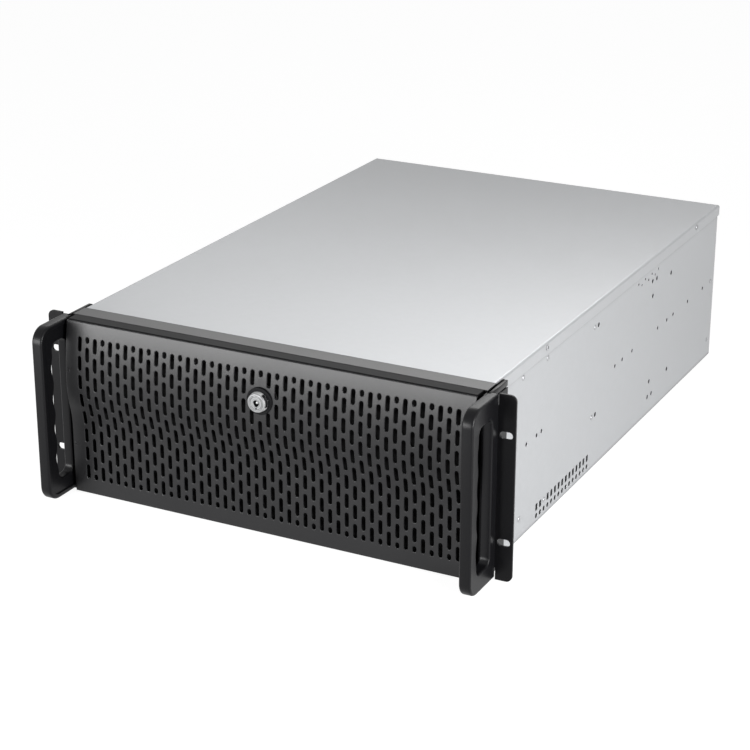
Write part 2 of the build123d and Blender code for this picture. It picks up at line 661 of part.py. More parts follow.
def make_ear():
    """Right rack ear: an angle with two slots for the rack's bolts."""
    outer = RACK_WIDTH / 2
    plate = window(EAR_X, outer, EAR_BOTTOM, BODY_HEIGHT)
    plate = fillet(plate.vertices().sort_by(Axis.X)[2:], EAR_CORNER)
    notch = EAR_OUTER_X + EAR_NOTCH_OFFSET - EAR_SHEET
    cuts = [
        window(notch, notch + EAR_NOTCH_WIDTH, BODY_HEIGHT - EAR_NOTCH_DEPTH, BODY_HEIGHT + 1),
        window(notch, notch + EAR_NOTCH_WIDTH, 0, EAR_BOTTOM + EAR_NOTCH_DEPTH),
        window(EAR_X - 1, notch + 1, EAR_LEG_TOP, BODY_HEIGHT + 1),
    ]
    middle = BODY_HEIGHT / 2
    for z in (middle - RACK_HOLES_Z / 2, middle + RACK_HOLES_Z / 2):
        cuts.append(Pos(RACK_HOLES_X / 2, z) * SlotOverall(EAR_SLOT_LENGTH, EAR_SLOT_WIDTH))
    ear = prism_along_y(plate - cuts, 0, EAR_SHEET)
    leg = block(EAR_X, EAR_OUTER_X, 0, TONGUE_LENGTH, EAR_BOTTOM, EAR_LEG_TOP)
    for z in EAR_SCREW_HEIGHTS:
        leg -= rod_along_x(EAR_X - 1, EAR_OUTER_X + 1, EAR_SCREW_Y, z, EAR_SCREW_RADIUS + SEAT_GAP)
    return ear + leg


def make_ear_screws():
    """Screws through ear, handle and case wall."""
    screws = []
    inside = TUB_INNER - FRAME_SHEET
    for z in EAR_SCREW_HEIGHTS:
        head = rod_along_x(EAR_OUTER_X, EAR_OUTER_X + EAR_SCREW_HEAD, EAR_SCREW_Y, z, EAR_SCREW_HEAD_RADIUS)
        head = fillet(head.edges().sort_by(Axis.X)[-1:], EAR_SCREW_HEAD / 2)
        screw = head + rod_along_x(inside, EAR_OUTER_X, EAR_SCREW_Y, z, EAR_SCREW_RADIUS)
        screws += [screw, other_side(screw)]
    return group(screws)


# Door
def wave_lines(shift):
    """The door's front curve from bottom to top, moved back by shift: flat, wave, long bow."""
    middle = ((DOOR_FLAT_Y + DOOR_PEAK_Y) / 2 + shift, (WAVE_LOW + WAVE_HIGH) / 2)
    flat = Line((DOOR_FLAT_Y + shift, DOOR_BOTTOM), (DOOR_FLAT_Y + shift, WAVE_LOW))
    rise = TangentArc(flat @ 1, middle, tangent=(0, 1))
    crest = TangentArc(middle, (DOOR_PEAK_Y + shift, WAVE_HIGH), tangent=rise % 1)
    bow = TangentArc(crest @ 1, (DOOR_TOP_Y + shift, SKIN_TOP), tangent=(0, 1))
    return [flat, rise, crest, bow]


def door_front_y(z):
    """Depth of the door's front face at a height."""
    half, drop = (WAVE_HIGH - WAVE_LOW) / 2, (DOOR_FLAT_Y - DOOR_PEAK_Y) / 2
    turn = (half ** 2 + drop ** 2) / (2 * drop)
    if z <= WAVE_LOW:
        return DOOR_FLAT_Y
    if z <= WAVE_LOW + half:
        return DOOR_FLAT_Y - turn + sqrt(turn ** 2 - (z - WAVE_LOW) ** 2)
    if z <= WAVE_HIGH:
        return DOOR_PEAK_Y + turn - sqrt(turn ** 2 - (WAVE_HIGH - z) ** 2)
    rise, back = SKIN_TOP - WAVE_HIGH, DOOR_TOP_Y - DOOR_PEAK_Y
    bow = (rise ** 2 + back ** 2) / (2 * back)
    return DOOR_PEAK_Y + bow - sqrt(bow ** 2 - (z - WAVE_HIGH) ** 2)


def behind_wave(shift, half_width):
    """Everything from the door's front curve, moved back by shift, to the door's back."""
    front = wave_lines(shift)
    start, end = front[0] @ 0, front[-1] @ 1
    back = Polyline(
        end, (end.X + DOOR_GROOVE, DOOR_TOP), (DOOR_BACK_Y, DOOR_TOP), (DOOR_BACK_Y, DOOR_BOTTOM), start)
    return prism_along_x(make_face(front + [back]), -half_width, half_width)


def grille_slots():
    """Outlines of the grille's slots, leaving out those that the lock takes up."""
    slots = []
    for column in range(GRILLE_COLUMNS):
        x = (column - (GRILLE_COLUMNS - 1) / 2) * GRILLE_PITCH_X
        rows = GRILLE_ROWS - column % 2
        lengths = [SLOT_LENGTH] * rows
        heights = [GRILLE_MIDDLE_Z + (row - (rows - 1) / 2) * GRILLE_PITCH_Z for row in range(rows)]
        if column % 2:
            end = (GRILLE_ROWS - 1) / 2 * GRILLE_PITCH_Z + (SLOT_LENGTH - SHORT_SLOT) / 2
            heights += [GRILLE_MIDDLE_Z - end, GRILLE_MIDDLE_Z + end]
            lengths += [SHORT_SLOT, SHORT_SLOT]
        for z, length in zip(heights, lengths):
            beside = max(abs(z - LOCK_Z) - (length - SLOT_WIDTH) / 2, 0)
            if hypot(x, beside) > LOCK_RING_RADIUS + FIT_GAP:
                slots.append(Pos(x, z) * SlotOverall(length, SLOT_WIDTH, rotation=90))
    return slots


def make_door_skin():
    """Front sheet of the door: the wave, pierced by the grille, the lock and four screws."""
    front, back = wave_lines(0), wave_lines(DOOR_SKIN)
    ends = [Line(front[-1] @ 1, back[-1] @ 1), Line(back[0] @ 0, front[0] @ 0)]
    sheet = prism_along_x(make_face(front + back + ends), -DOOR_HALF, DOOR_HALF)
    outline = window(-DOOR_HALF, DOOR_HALF, DOOR_BOTTOM, SKIN_TOP)
    holes = grille_slots()
    holes.append(Pos(0, LOCK_Z) * Circle(LOCK_BARREL_RADIUS + SEAT_GAP))
    for z in SKIN_SCREW_HEIGHTS:
        for side in (-1, 1):
            hole = Circle(SKIN_SCREW_SHANK + SEAT_GAP)
            holes.append(Pos(side * (DOOR_HALF - SKIN_SCREW_INSET), z) * hole)
    pierced = Face(outline.wire(), [hole.wire() for hole in holes])
    return sheet & prism_along_y(pierced, DOOR_PEAK_Y - 1, DOOR_BACK_Y)


def make_door_frame():
    """Moulded frame behind the skin, open in the middle and cut away around the hinge lugs."""
    frame = behind_wave(DOOR_SKIN + SEAT_GAP, FRAME_HALF)
    top = DOOR_TOP - DOOR_WALL
    frame -= block(-DOOR_INNER, DOOR_INNER, DOOR_PEAK_Y, FRAME_Y, DOOR_BOTTOM + DOOR_RAIL, top)
    frame -= block(-DOOR_HALF, DOOR_HALF, DOOR_HEEL_Y, FRAME_Y, 0, HINGE_Z)
    notch_y = HINGE_Y - LUG_RADIUS - FIT_GAP
    notch = block(DOOR_INNER - LUG_NOTCH, DOOR_INNER, notch_y, FRAME_Y, 0, HINGE_Z)
    pin = rod_along_x(DOOR_INNER - 1, FRAME_HALF - 1, HINGE_Y, HINGE_Z, PIN_RADIUS)
    cuts = [notch, pin]
    for z in SKIN_SCREW_HEIGHTS:
        start = door_front_y(z)
        end = start + SKIN_SCREW_LENGTH + SEAT_GAP
        cuts.append(rod_along_y(DOOR_HALF - SKIN_SCREW_INSET, start, end, z, SKIN_SCREW_SHANK + SEAT_GAP))
    return frame - cuts - [other_side(cut) for cut in cuts]


def make_hinge_pins():
    """Two pins that the door turns on."""
    pin = rod_along_x(FRAME_HALF - PIN_INSET - 1, FRAME_HALF - 1, HINGE_Y, HINGE_Z, PIN_RADIUS)
    return group([pin, other_side(pin)])


def make_dust_filter():
    """Filter sheet held between the door frame's walls."""
    top = DOOR_TOP - DOOR_WALL
    sheet = block(-DOOR_INNER, DOOR_INNER, FILTER_Y, FILTER_Y + FILTER_THICKNESS, FILTER_BOTTOM, top)
    return sheet - rod_along_y(0, DOOR_PEAK_Y, DOOR_BACK_Y, LOCK_Z, FILTER_LOCK_HOLE)


def make_skin_screws():
    """Four small screws near the ends of the skin."""
    screws = []
    x = DOOR_HALF - SKIN_SCREW_INSET
    for z in SKIN_SCREW_HEIGHTS:
        face = door_front_y(z)
        head = rod_along_y(x, face - SKIN_SCREW_HEAD, face, z, SKIN_SCREW_RADIUS)
        head -= behind_wave(0, DOOR_HALF)
        screw = head + rod_along_y(x, face - SKIN_SCREW_HEAD, face + SKIN_SCREW_LENGTH, z, SKIN_SCREW_SHANK)
        screws += [screw, other_side(screw)]
    return group(screws)


# Lock
def make_lock_ring():
    """Black ring between the skin and the lock's head, seated on the wave."""
    face = door_front_y(LOCK_Z)
    ring = rod_along_y(0, face - LOCK_RING_PROUD, face + LOCK_RING_PROUD, LOCK_Z, LOCK_RING_RADIUS)
    ring = fillet(ring.edges().sort_by(Axis.Y)[:1], LOCK_RING_PROUD / 2)
    ring -= rod_along_y(0, face - LOCK_HEAD_PROUD, DOOR_BACK_Y, LOCK_Z, LOCK_BARREL_RADIUS + SEAT_GAP)
    return ring - behind_wave(0, DOOR_HALF)


def make_lock_barrel():
    """Fixed part of the lock: stepped head and threaded body with a bore for the plug."""
    face = door_front_y(LOCK_Z)
    front, seat = face - LOCK_HEAD_PROUD, face - LOCK_RING_PROUD
    head = rod_along_y(0, front, seat, LOCK_Z, LOCK_HEAD_RADIUS)
    head = chamfer(head.edges().sort_by(Axis.Y)[:1], (LOCK_HEAD_RADIUS - LOCK_PLUG_RADIUS) / 3)
    barrel = head + rod_along_y(0, seat, LOCK_BACK_Y, LOCK_Z, LOCK_BARREL_RADIUS)
    return barrel - rod_along_y(0, front - 1, LOCK_BACK_Y + 1, LOCK_Z, LOCK_PLUG_RADIUS + RUN_GAP)


def make_lock_nut():
    """Hexagon nut that holds the lock against the back of the skin."""
    start = max(door_front_y(LOCK_Z - LOCK_NUT_ACROSS / 2), door_front_y(LOCK_Z + LOCK_NUT_ACROSS / 2))
    start += DOOR_SKIN
    outline = Pos(0, LOCK_Z) * RegularPolygon(LOCK_NUT_ACROSS / 2, 6, major_radius=False)
    outline -= Pos(0, LOCK_Z) * Circle(LOCK_BARREL_RADIUS + SEAT_GAP)
    return prism_along_y(outline, start, start + LOCK_NUT_THICKNESS)


def make_lock_plug():
    """Turning plug with a ring-shaped keyway and a stub for the cam."""
    front = door_front_y(LOCK_Z) - LOCK_HEAD_PROUD
    plug = rod_along_y(0, front, LOCK_BACK_Y, LOCK_Z, LOCK_PLUG_RADIUS)
    stub_end = LOCK_BACK_Y + CAM_GAP + CAM_THICKNESS + 1
    plug += rod_along_y(0, LOCK_BACK_Y, stub_end, LOCK_Z, LOCK_STUB_RADIUS)
    groove = rod_along_y(0, front - 1, front + KEYWAY_DEPTH, LOCK_Z, KEYWAY_OUTER)
    groove -= rod_along_y(0, front - 2, front + KEYWAY_DEPTH, LOCK_Z, KEYWAY_INNER)
    notch_z = LOCK_Z - KEYWAY_OUTER
    notch = block(-0.8, 0.8, front - 1, front + KEYWAY_DEPTH, notch_z - 0.9, notch_z + 1)
    return plug - groove - notch


def make_lock_cam():
    """Tongue behind the frame: level when unlocked, a quarter turn up when locked."""
    outline = Pos(0, LOCK_Z) * Circle(CAM_WIDTH / 2)
    outline += Pos(CAM_REACH / 2, LOCK_Z) * RectangleRounded(CAM_REACH, CAM_WIDTH, CAM_WIDTH / 4)
    outline -= Pos(0, LOCK_Z) * Circle(LOCK_STUB_RADIUS + SEAT_GAP)
    start = LOCK_BACK_Y + CAM_GAP
    return prism_along_y(outline, start, start + CAM_THICKNESS)


# Front controls
def make_control_box():
    """Housing behind the frame for buttons, lights and the two ports."""
    half = CONTROL_WIDTH / 2
    back = FRAME_BACK_Y + CONTROL_DEPTH
    box = block(CONTROL_X - half, CONTROL_X + half, FRAME_BACK_Y, back, CONTROL_BOTTOM, CONTROL_TOP)
    bore_end = FRAME_Y - BUTTON_PROUD + BUTTON_LENGTH + BUTTON_TRAVEL + FIT_GAP
    cuts = [
        rod_along_y(CONTROL_X, FRAME_Y, bore_end, POWER_Z, POWER_RADIUS + FIT_GAP),
        rod_along_y(CONTROL_X, FRAME_Y, bore_end, RESET_Z, RESET_RADIUS + FIT_GAP),
    ]
    for z in LIGHT_HEIGHTS:
        cuts.append(rod_along_y(CONTROL_X, FRAME_Y, FRAME_Y + LIGHT_LENGTH, z, LIGHT_RADIUS + SEAT_GAP))
    for z in USB_HEIGHTS:
        x0, x1 = CONTROL_X - USB_WIDTH / 2, CONTROL_X + USB_WIDTH / 2
        cuts.append(block(x0, x1, FRAME_Y, FRAME_Y + USB_DEPTH, z - USB_HEIGHT / 2, z + USB_HEIGHT / 2))
    return box - cuts


def make_button(z, radius):
    """Round push button with a softened edge."""
    front = FRAME_Y - BUTTON_PROUD
    button = rod_along_y(CONTROL_X, front, front + BUTTON_LENGTH, z, radius)
    return fillet(button.edges().sort_by(Axis.Y)[:1], radius / 6)


def make_status_lights():
    """Light pipes beside the buttons."""
    y1 = FRAME_Y + LIGHT_LENGTH
    return group(rod_along_y(CONTROL_X, FRAME_Y, y1, z, LIGHT_RADIUS) for z in LIGHT_HEIGHTS)


def make_usb_ports():
    """Two upright front ports: a thin shell with a tongue inside."""
    ports = []
    x0, x1 = CONTROL_X - USB_WIDTH / 2, CONTROL_X + USB_WIDTH / 2
    y0, y1 = FRAME_Y, FRAME_Y + USB_DEPTH
    for z in USB_HEIGHTS:
        z0, z1 = z - USB_HEIGHT / 2, z + USB_HEIGHT / 2
        shell = block(x0, x1, y0, y1, z0, z1)
        shell -= block(x0 + USB_WALL, x1 - USB_WALL, y0 - 1, y1 - 1, z0 + USB_WALL, z1 - USB_WALL)
        tongue_x = x1 - 2 * USB_WALL - USB_TONGUE
        tongue = block(tongue_x, tongue_x + USB_TONGUE, y0 + 1, y1 - 0.5, z0 + 1, z1 - 1)
        ports.append(shell + tongue)
    return group(ports)


# Drive cages and fans
def bay_floor(bay):
    """Height of the ledges of a drive bay."""
    return SHEET + CAGE_SHEET + bay * BAY_HEIGHT


def make_drive_cage(x):
    """Open-ended cage with ledges for the drives and windows in its sides."""
    half, inner = CAGE_WIDTH / 2, CAGE_WIDTH / 2 - CAGE_SHEET
    y1 = CAGE_FRONT_Y + CAGE_DEPTH
    z1 = SHEET + CAGE_HEIGHT
    cage = block(x - half, x + half, CAGE_FRONT_Y, y1, SHEET, z1)
    cage -= block(x - inner, x + inner, CAGE_FRONT_Y - 1, y1 + 1, SHEET + CAGE_SHEET, z1 - CAGE_SHEET)
    for bay in range(1, DRIVE_BAYS):
        z = bay_floor(bay)
        for x0 in (x - inner, x + inner - CAGE_LEDGE):
            cage += block(x0, x0 + CAGE_LEDGE, CAGE_FRONT_Y, y1, z - CAGE_SHEET, z)
    openings = []
    for bay in range(DRIVE_BAYS):
        z = bay_floor(bay) + BAY_HEIGHT / 2
        slot = Pos((CAGE_FRONT_Y + y1) / 2, z) * SlotOverall(CAGE_DEPTH * 0.7, BAY_HEIGHT / 3)
        openings.append(prism_along_x(slot, x - half - 1, x + half + 1))
    return cage - openings


def make_drives(x):
    """The drives of one cage, lying on its ledges."""
    drives = []
    for bay in range(DRIVE_BAYS):
        z = bay_floor(bay)
        half = DRIVE_WIDTH / 2
        drive = block(x - half, x + half, DRIVE_FRONT_Y, DRIVE_FRONT_Y + DRIVE_LENGTH, z, z + DRIVE_HEIGHT)
        drive = chamfer(drive.edges().filter_by(Axis.Y), 1.5)
        drives.append(drive)
    return drives


def make_fan_wall():
    """Partition with three round openings, lips at its sides and a lip on the floor."""
    plate = fillet(window(-TUB_INNER, TUB_INNER, SHEET, FAN_WALL_TOP).vertices(), BEND)
    duct = WALL_FAN_SIZE / 2 - FAN_DUCT_WALL
    plate -= [Pos(x, WALL_FAN_Z) * Circle(duct) for x in WALL_FANS_X]
    wall = prism_along_y(plate, FAN_WALL_Y, FAN_WALL_BACK_Y)
    lip_end = FAN_WALL_Y + FAN_WALL_LIP
    relief = 2 * BEND
    side = block(TUB_INNER - SHEET, TUB_INNER, FAN_WALL_Y, lip_end, SHEET + relief, FAN_WALL_TOP - relief)
    floor = block(-TUB_INNER + relief, TUB_INNER - relief, FAN_WALL_Y, lip_end, SHEET, 2 * SHEET)
    return wall + [side, other_side(side), floor]


def hub_radius(size):
    """Radius of a fan's hub."""
    return HUB_SHARE_OF_DUCT * (size / 2 - FAN_DUCT_WALL)


def make_fan_frame(x, y, z, size):
    """Square fan frame with a round duct and a motor seat on four struts at its back."""
    half, duct = size / 2, size / 2 - FAN_DUCT_WALL
    y1 = y + FAN_DEPTH
    frame = block(x - half, x + half, y, y1, z - half, z + half)
    frame = fillet(frame.edges().filter_by(Axis.Y), FAN_CORNER)
    corner = half - 1.8 * FAN_CORNER
    holes = [rod_along_y(x, y - 1, y1 + 1, z, duct)]
    for sx in (-1, 1):
        for sz in (-1, 1):
            holes.append(rod_along_y(x + sx * corner, y - 1, y1 + 1, z + sz * corner, FAN_SCREW_RADIUS))
    frame -= holes
    seat_y = y1 - FAN_SEAT
    hub = hub_radius(size)
    seat = rod_along_y(x, seat_y, y1, z, hub)
    reach = duct + FAN_DUCT_WALL / 2
    cross = block(x - reach, x + reach, seat_y, y1, z - FAN_SEAT / 2, z + FAN_SEAT / 2)
    upright = block(x - FAN_SEAT / 2, x + FAN_SEAT / 2, seat_y, y1, z - reach, z + reach)
    frame += [seat, cross, upright]
    return frame - rod_along_y(x, seat_y - 1, y1 - 1, z, FAN_SHAFT_RADIUS + RUN_GAP)


def make_fan_rotor(x, y, z, size):
    """Fan wheel: hub, pitched blades and a shaft that runs in the motor seat."""
    hub = hub_radius(size)
    tip = size / 2 - FAN_DUCT_WALL - FAN_TIP_GAP
    depth = FAN_DEPTH - FAN_SEAT - 2 * FIT_GAP - FAN_DUCT_WALL
    chord = depth / sin(radians(BLADE_PITCH)) - 2 * BLADE_THICKNESS
    half_chord = chord / 2 * cos(radians(BLADE_PITCH)) + BLADE_THICKNESS
    end = sqrt(tip ** 2 - half_chord ** 2)
    start = hub - BLADE_THICKNESS
    blade = Pos((start + end) / 2, 0, 0) * Rot(BLADE_PITCH, 0, 0) * Box(end - start, chord, BLADE_THICKNESS)
    blades = [Rot(0, 0, 360 / FAN_BLADES * index) * blade for index in range(FAN_BLADES)]
    wheel = Cylinder(hub, depth) + blades
    middle = y + FAN_DUCT_WALL + FIT_GAP + depth / 2
    wheel = Pos(x, EAR_Y + middle, z) * Rot(90, 0, 0) * wheel
    shaft_end = y + FAN_DEPTH - 1 - FIT_GAP
    return wheel + rod_along_y(x, middle, shaft_end, z, FAN_SHAFT_RADIUS)


# Mainboard
def standoff_places():
    """Screw places of the mainboard: a grid of three by three."""
    xs = (BOARD_LEFT_X + 8, (BOARD_LEFT_X + BOARD_RIGHT_X) / 2, BOARD_RIGHT_X - 8)
    ys = (BOARD_FRONT_Y + 8, (BOARD_FRONT_Y + BOARD_BACK_Y) / 2, BOARD_BACK_Y - 26)
    return [(x, y) for x in xs for y in ys]


def make_mainboard():
    """Bare board with its screw holes."""
    board = block(BOARD_LEFT_X, BOARD_RIGHT_X, BOARD_FRONT_Y, BOARD_BACK_Y, BOARD_BOTTOM, BOARD_TOP)
    return board - [rod_along_z(x, y, 0, BOARD_TOP + 1, STANDOFF_HOLE) for x, y in standoff_places()]


def make_standoffs():
    """Hexagon posts between the floor and the mainboard."""
    post = extrude(RegularPolygon(STANDOFF_RADIUS, 6), amount=STANDOFF_HEIGHT)
    return group(Pos(x, EAR_Y + y, SHEET) * post for x, y in standoff_places())


def finned(x, z0, width, base, height, count, fin):
    """Outline of a heatsink seen from the front: a base with upright fins."""
    outline = window(x - width / 2, x + width / 2, z0, z0 + base)
    pitch = (width - fin) / (count - 1)
    for index in range(count):
        left = x - width / 2 + index * pitch
        outline += window(left, left + fin, z0, z0 + height)
    return outline


def make_socket(y):
    """Processor with its socket on the board."""
    half = SOCKET_WIDTH / 2
    return block(COOLER_X - half, COOLER_X + half, y - half, y + half, BOARD_TOP, BOARD_TOP + SOCKET_HEIGHT)


def make_cooler(y):
    """Processor heatsink with fins along the air flow."""
    z0 = BOARD_TOP + SOCKET_HEIGHT
    outline = finned(COOLER_X, z0, COOLER_WIDTH, COOLER_BASE, COOLER_HEIGHT, COOLER_FINS, COOLER_FIN)
    return prism_along_y(outline, y - COOLER_WIDTH / 2, y + COOLER_WIDTH / 2)


def memory_places():
    """Middle of every memory slot."""
    xs = [MEMORY_FIRST_X - MEMORY_PITCH * index for index in range(MEMORY_PER_COOLER)]
    return [(x, y) for y in MEMORY_DEPTHS for x in xs]


def make_memory_slots():
    """Memory sockets with the cut that a module stands in."""
    half, length = MEMORY_SLOT_WIDTH / 2, MEMORY_SLOT_LENGTH / 2
    cut = MEMORY_BOARD / 2 + SEAT_GAP
    slots = []
    top = BOARD_TOP + MEMORY_SLOT_HEIGHT
    for x, y in memory_places():
        slot = block(x - half, x + half, y - length, y + length, BOARD_TOP, top)
        inner = MEMORY_LENGTH / 2 + SEAT_GAP
        slot -= block(x - cut, x + cut, y - inner, y + inner, top - MEMORY_SLOT_CUT, top + 1)
        slots.append(slot)
    return group(slots)


def make_memory_modules():
    """Memory modules standing in their sockets."""
    half, length = MEMORY_BOARD / 2, MEMORY_LENGTH / 2
    z0 = BOARD_TOP + MEMORY_SLOT_HEIGHT - MEMORY_SLOT_CUT
    places = memory_places()
    return group(block(x - half, x + half, y - length, y + length, z0, z0 + MEMORY_HEIGHT) for x, y in places)


# Expansion cards
def card_board_x(card):
    """Left face of a card's board."""
    return card_x(2 * card) + CARD_PITCH / 2 - BRACKET_MARGIN - CARD_BOARD - EDGE_SLOT_WIDTH / 2


def make_edge_slot(card):
    """Card socket on the mainboard."""
    x = card_board_x(card) + CARD_BOARD / 2
    half, cut = EDGE_SLOT_WIDTH / 2, CARD_BOARD / 2 + SEAT_GAP
    y1 = CARD_BACK_Y - EDGE_SLOT_BACK_GAP
    y0 = y1 - EDGE_SLOT_LENGTH
    top = BOARD_TOP + EDGE_SLOT_HEIGHT
    slot = block(x - half, x + half, y0, y1, BOARD_TOP, top)
    return slot - block(x - cut, x + cut, y0 + 2, y1 - 2, top - EDGE_SLOT_CUT, top + 1)


def make_card_board(card):
    """Circuit board of one accelerator card with its edge tab."""
    x = card_board_x(card)
    board = block(x, x + CARD_BOARD, CARD_FRONT_Y, CARD_BACK_Y, CARD_BOTTOM, CARD_TOP)
    middle = CARD_BACK_Y - EDGE_SLOT_BACK_GAP - EDGE_SLOT_LENGTH / 2
    y0, y1 = middle - CARD_TAB_LENGTH / 2, middle + CARD_TAB_LENGTH / 2
    return board + block(x, x + CARD_BOARD, y0, y1, CARD_TAB_BOTTOM, CARD_BOTTOM)


def make_card_shroud(card):
    """Tunnel-shaped cover of a card, open at both ends for the air."""
    x1 = card_board_x(card)
    x0, wall = x1 - CARD_WIDTH, CARD_SHROUD
    outline = fillet(window(x0, x1, CARD_BOTTOM, CARD_TOP).vertices(), 2)
    outline -= window(x0 + wall, x1 - wall, CARD_BOTTOM + wall, CARD_TOP - wall)
    return prism_along_y(outline, CARD_FRONT_Y, CARD_BACK_Y)


def make_card_heatsink(card):
    """Fins inside a card's tunnel."""
    x1 = card_board_x(card) - CARD_SHROUD
    x0 = x1 - CARD_WIDTH + 2 * CARD_SHROUD
    z0, z1 = CARD_BOTTOM + CARD_SHROUD, CARD_TOP - CARD_SHROUD
    outline = window(x1 - 4, x1, z0, z1)
    pitch = (z1 - z0 - CARD_FIN) / (CARD_FINS - 1)
    for index in range(CARD_FINS):
        outline += window(x0, x1, z0 + index * pitch, z0 + index * pitch + CARD_FIN)
    return prism_along_y(outline, CARD_FRONT_Y + 6, CARD_BACK_Y - 6)


def bracket_plate(first, last):
    """Plate that closes card slots at the back, with a tab through the panel at its top."""
    x0 = card_x(last) - CARD_PITCH / 2 + BRACKET_MARGIN / 2
    x1 = card_x(first) + CARD_PITCH / 2 - BRACKET_MARGIN / 2
    plate = block(x0, x1, CARD_BACK_Y, REAR_INNER_Y, BRACKET_BOTTOM, BRACKET_TOP)
    for slot in range(first, last + 1):
        half = CARD_OPENING_WIDTH / 2
        tab_end = REAR_INNER_Y + BRACKET_TAB
        x = card_x(slot)
        plate += block(x - half, x + half, CARD_BACK_Y, tab_end, BRACKET_TOP - BRACKET_SHEET, BRACKET_TOP)
    return plate


def make_card_bracket(card):
    """Two-slot bracket with vent slots."""
    bracket = bracket_plate(2 * card, 2 * card + 1)
    pitch = (CARD_OPENING_TOP - CARD_OPENING_BOTTOM) / BRACKET_VENTS
    vents = []
    for slot in (2 * card, 2 * card + 1):
        for index in range(BRACKET_VENTS):
            z = CARD_OPENING_BOTTOM + pitch * (index + 0.5)
            outline = Pos(card_x(slot), z) * SlotOverall(pitch * 0.75, 6, rotation=90)
            vents.append(prism_along_y(outline, CARD_BACK_Y - 1, REAR_INNER_Y + 1))
    return bracket - vents


def make_slot_cover():
    """Blank for the last, empty card slot."""
    return bracket_plate(CARD_SLOTS - 1, CARD_SLOTS - 1)


def make_retention_bar():
    """Cross bar above the cards, with a foot down to each card."""
    top = BAR_Z + SHEET
    y1 = BAR_Y + BAR_DEPTH
    bar = block(-TUB_INNER, TUB_INNER, BAR_Y, y1, BAR_Z, top)
    bar += block(-TUB_INNER, TUB_INNER, BAR_Y, BAR_Y + SHEET, BAR_Z - BAR_LIP, BAR_Z)
    end = block(TUB_INNER - SHEET, TUB_INNER, BAR_Y, y1, BAR_Z, BAR_HOLE_HIGH + 4)
    bar += [end, other_side(end)]
    for card in range(CARD_COUNT):
        x = card_board_x(card) - CARD_WIDTH / 2
        half = BAR_FOOT_WIDTH / 2
        bar += block(x - half, x + half, BAR_Y, BAR_Y + SHEET, CARD_TOP + SHEET, BAR_Z)
        bar += block(x - half, x + half, BAR_Y, y1, CARD_TOP, CARD_TOP + SHEET)
    return bar


# Ports at the back
def port_shape(offset, width, height, extra):
    """Box of a port, grown by extra all round, that passes through the shield."""
    x = IO_LEFT_X + offset
    y1 = REAR_Y + PORT_PROUD
    half = width / 2 + extra
    z1 = BOARD_TOP + height + extra
    return block(x - half, x + half, y1 - PORT_LENGTH - extra, y1 + extra, BOARD_TOP - extra, z1)


def make_io_shield():
    """Thin plate around the ports."""
    plate = block(
        IO_LEFT_X - IO_BORDER, IO_RIGHT_X + IO_BORDER, REAR_INNER_Y - IO_SHEET, REAR_INNER_Y,
        IO_BOTTOM - IO_BORDER, IO_TOP + IO_BORDER)
    cuts = [port_shape(offset, JACK_WIDTH, JACK_HEIGHT, PORT_GAP) for offset in JACK_OFFSETS]
    cuts += [port_shape(offset, STACK_WIDTH, STACK_HEIGHT, PORT_GAP) for offset in STACK_OFFSETS]
    return plate - cuts


def make_network_jacks():
    """Network sockets with an open front."""
    jacks = []
    for offset in JACK_OFFSETS:
        x, y1 = IO_LEFT_X + offset, REAR_Y + PORT_PROUD
        half = JACK_WIDTH / 2 - JACK_WALL
        z0, z1 = BOARD_TOP + JACK_WALL, BOARD_TOP + JACK_HEIGHT - JACK_WALL
        cavity = block(x - half, x + half, y1 - PORT_LENGTH * 0.7, y1 + 1, z0, z1)
        jacks.append(port_shape(offset, JACK_WIDTH, JACK_HEIGHT, 0) - cavity)
    return group(jacks)


def make_usb_stacks():
    """Stacks of two flat ports, each with a tongue left in its opening."""
    stacks = []
    for offset in STACK_OFFSETS:
        x, y1 = IO_LEFT_X + offset, REAR_Y + PORT_PROUD
        stack = port_shape(offset, STACK_WIDTH, STACK_HEIGHT, 0)
        half = STACK_WIDTH / 2 - 2 * USB_WALL
        for level in (0, 1):
            z0 = BOARD_TOP + USB_WALL + 1 + level * STACK_HEIGHT / 2
            stack -= block(x - half, x + half, y1 - USB_DEPTH, y1 + 1, z0, z0 + STACK_OPENING_HEIGHT)
            tongue_z = z0 + STACK_OPENING_HEIGHT - USB_TONGUE - USB_WALL
            tongue_top = tongue_z + USB_TONGUE
            stack += block(x - half + 1, x + half - 1, y1 - USB_DEPTH - 1, y1 - 1, tongue_z, tongue_top)
        stacks.append(stack)
    return group(stacks)


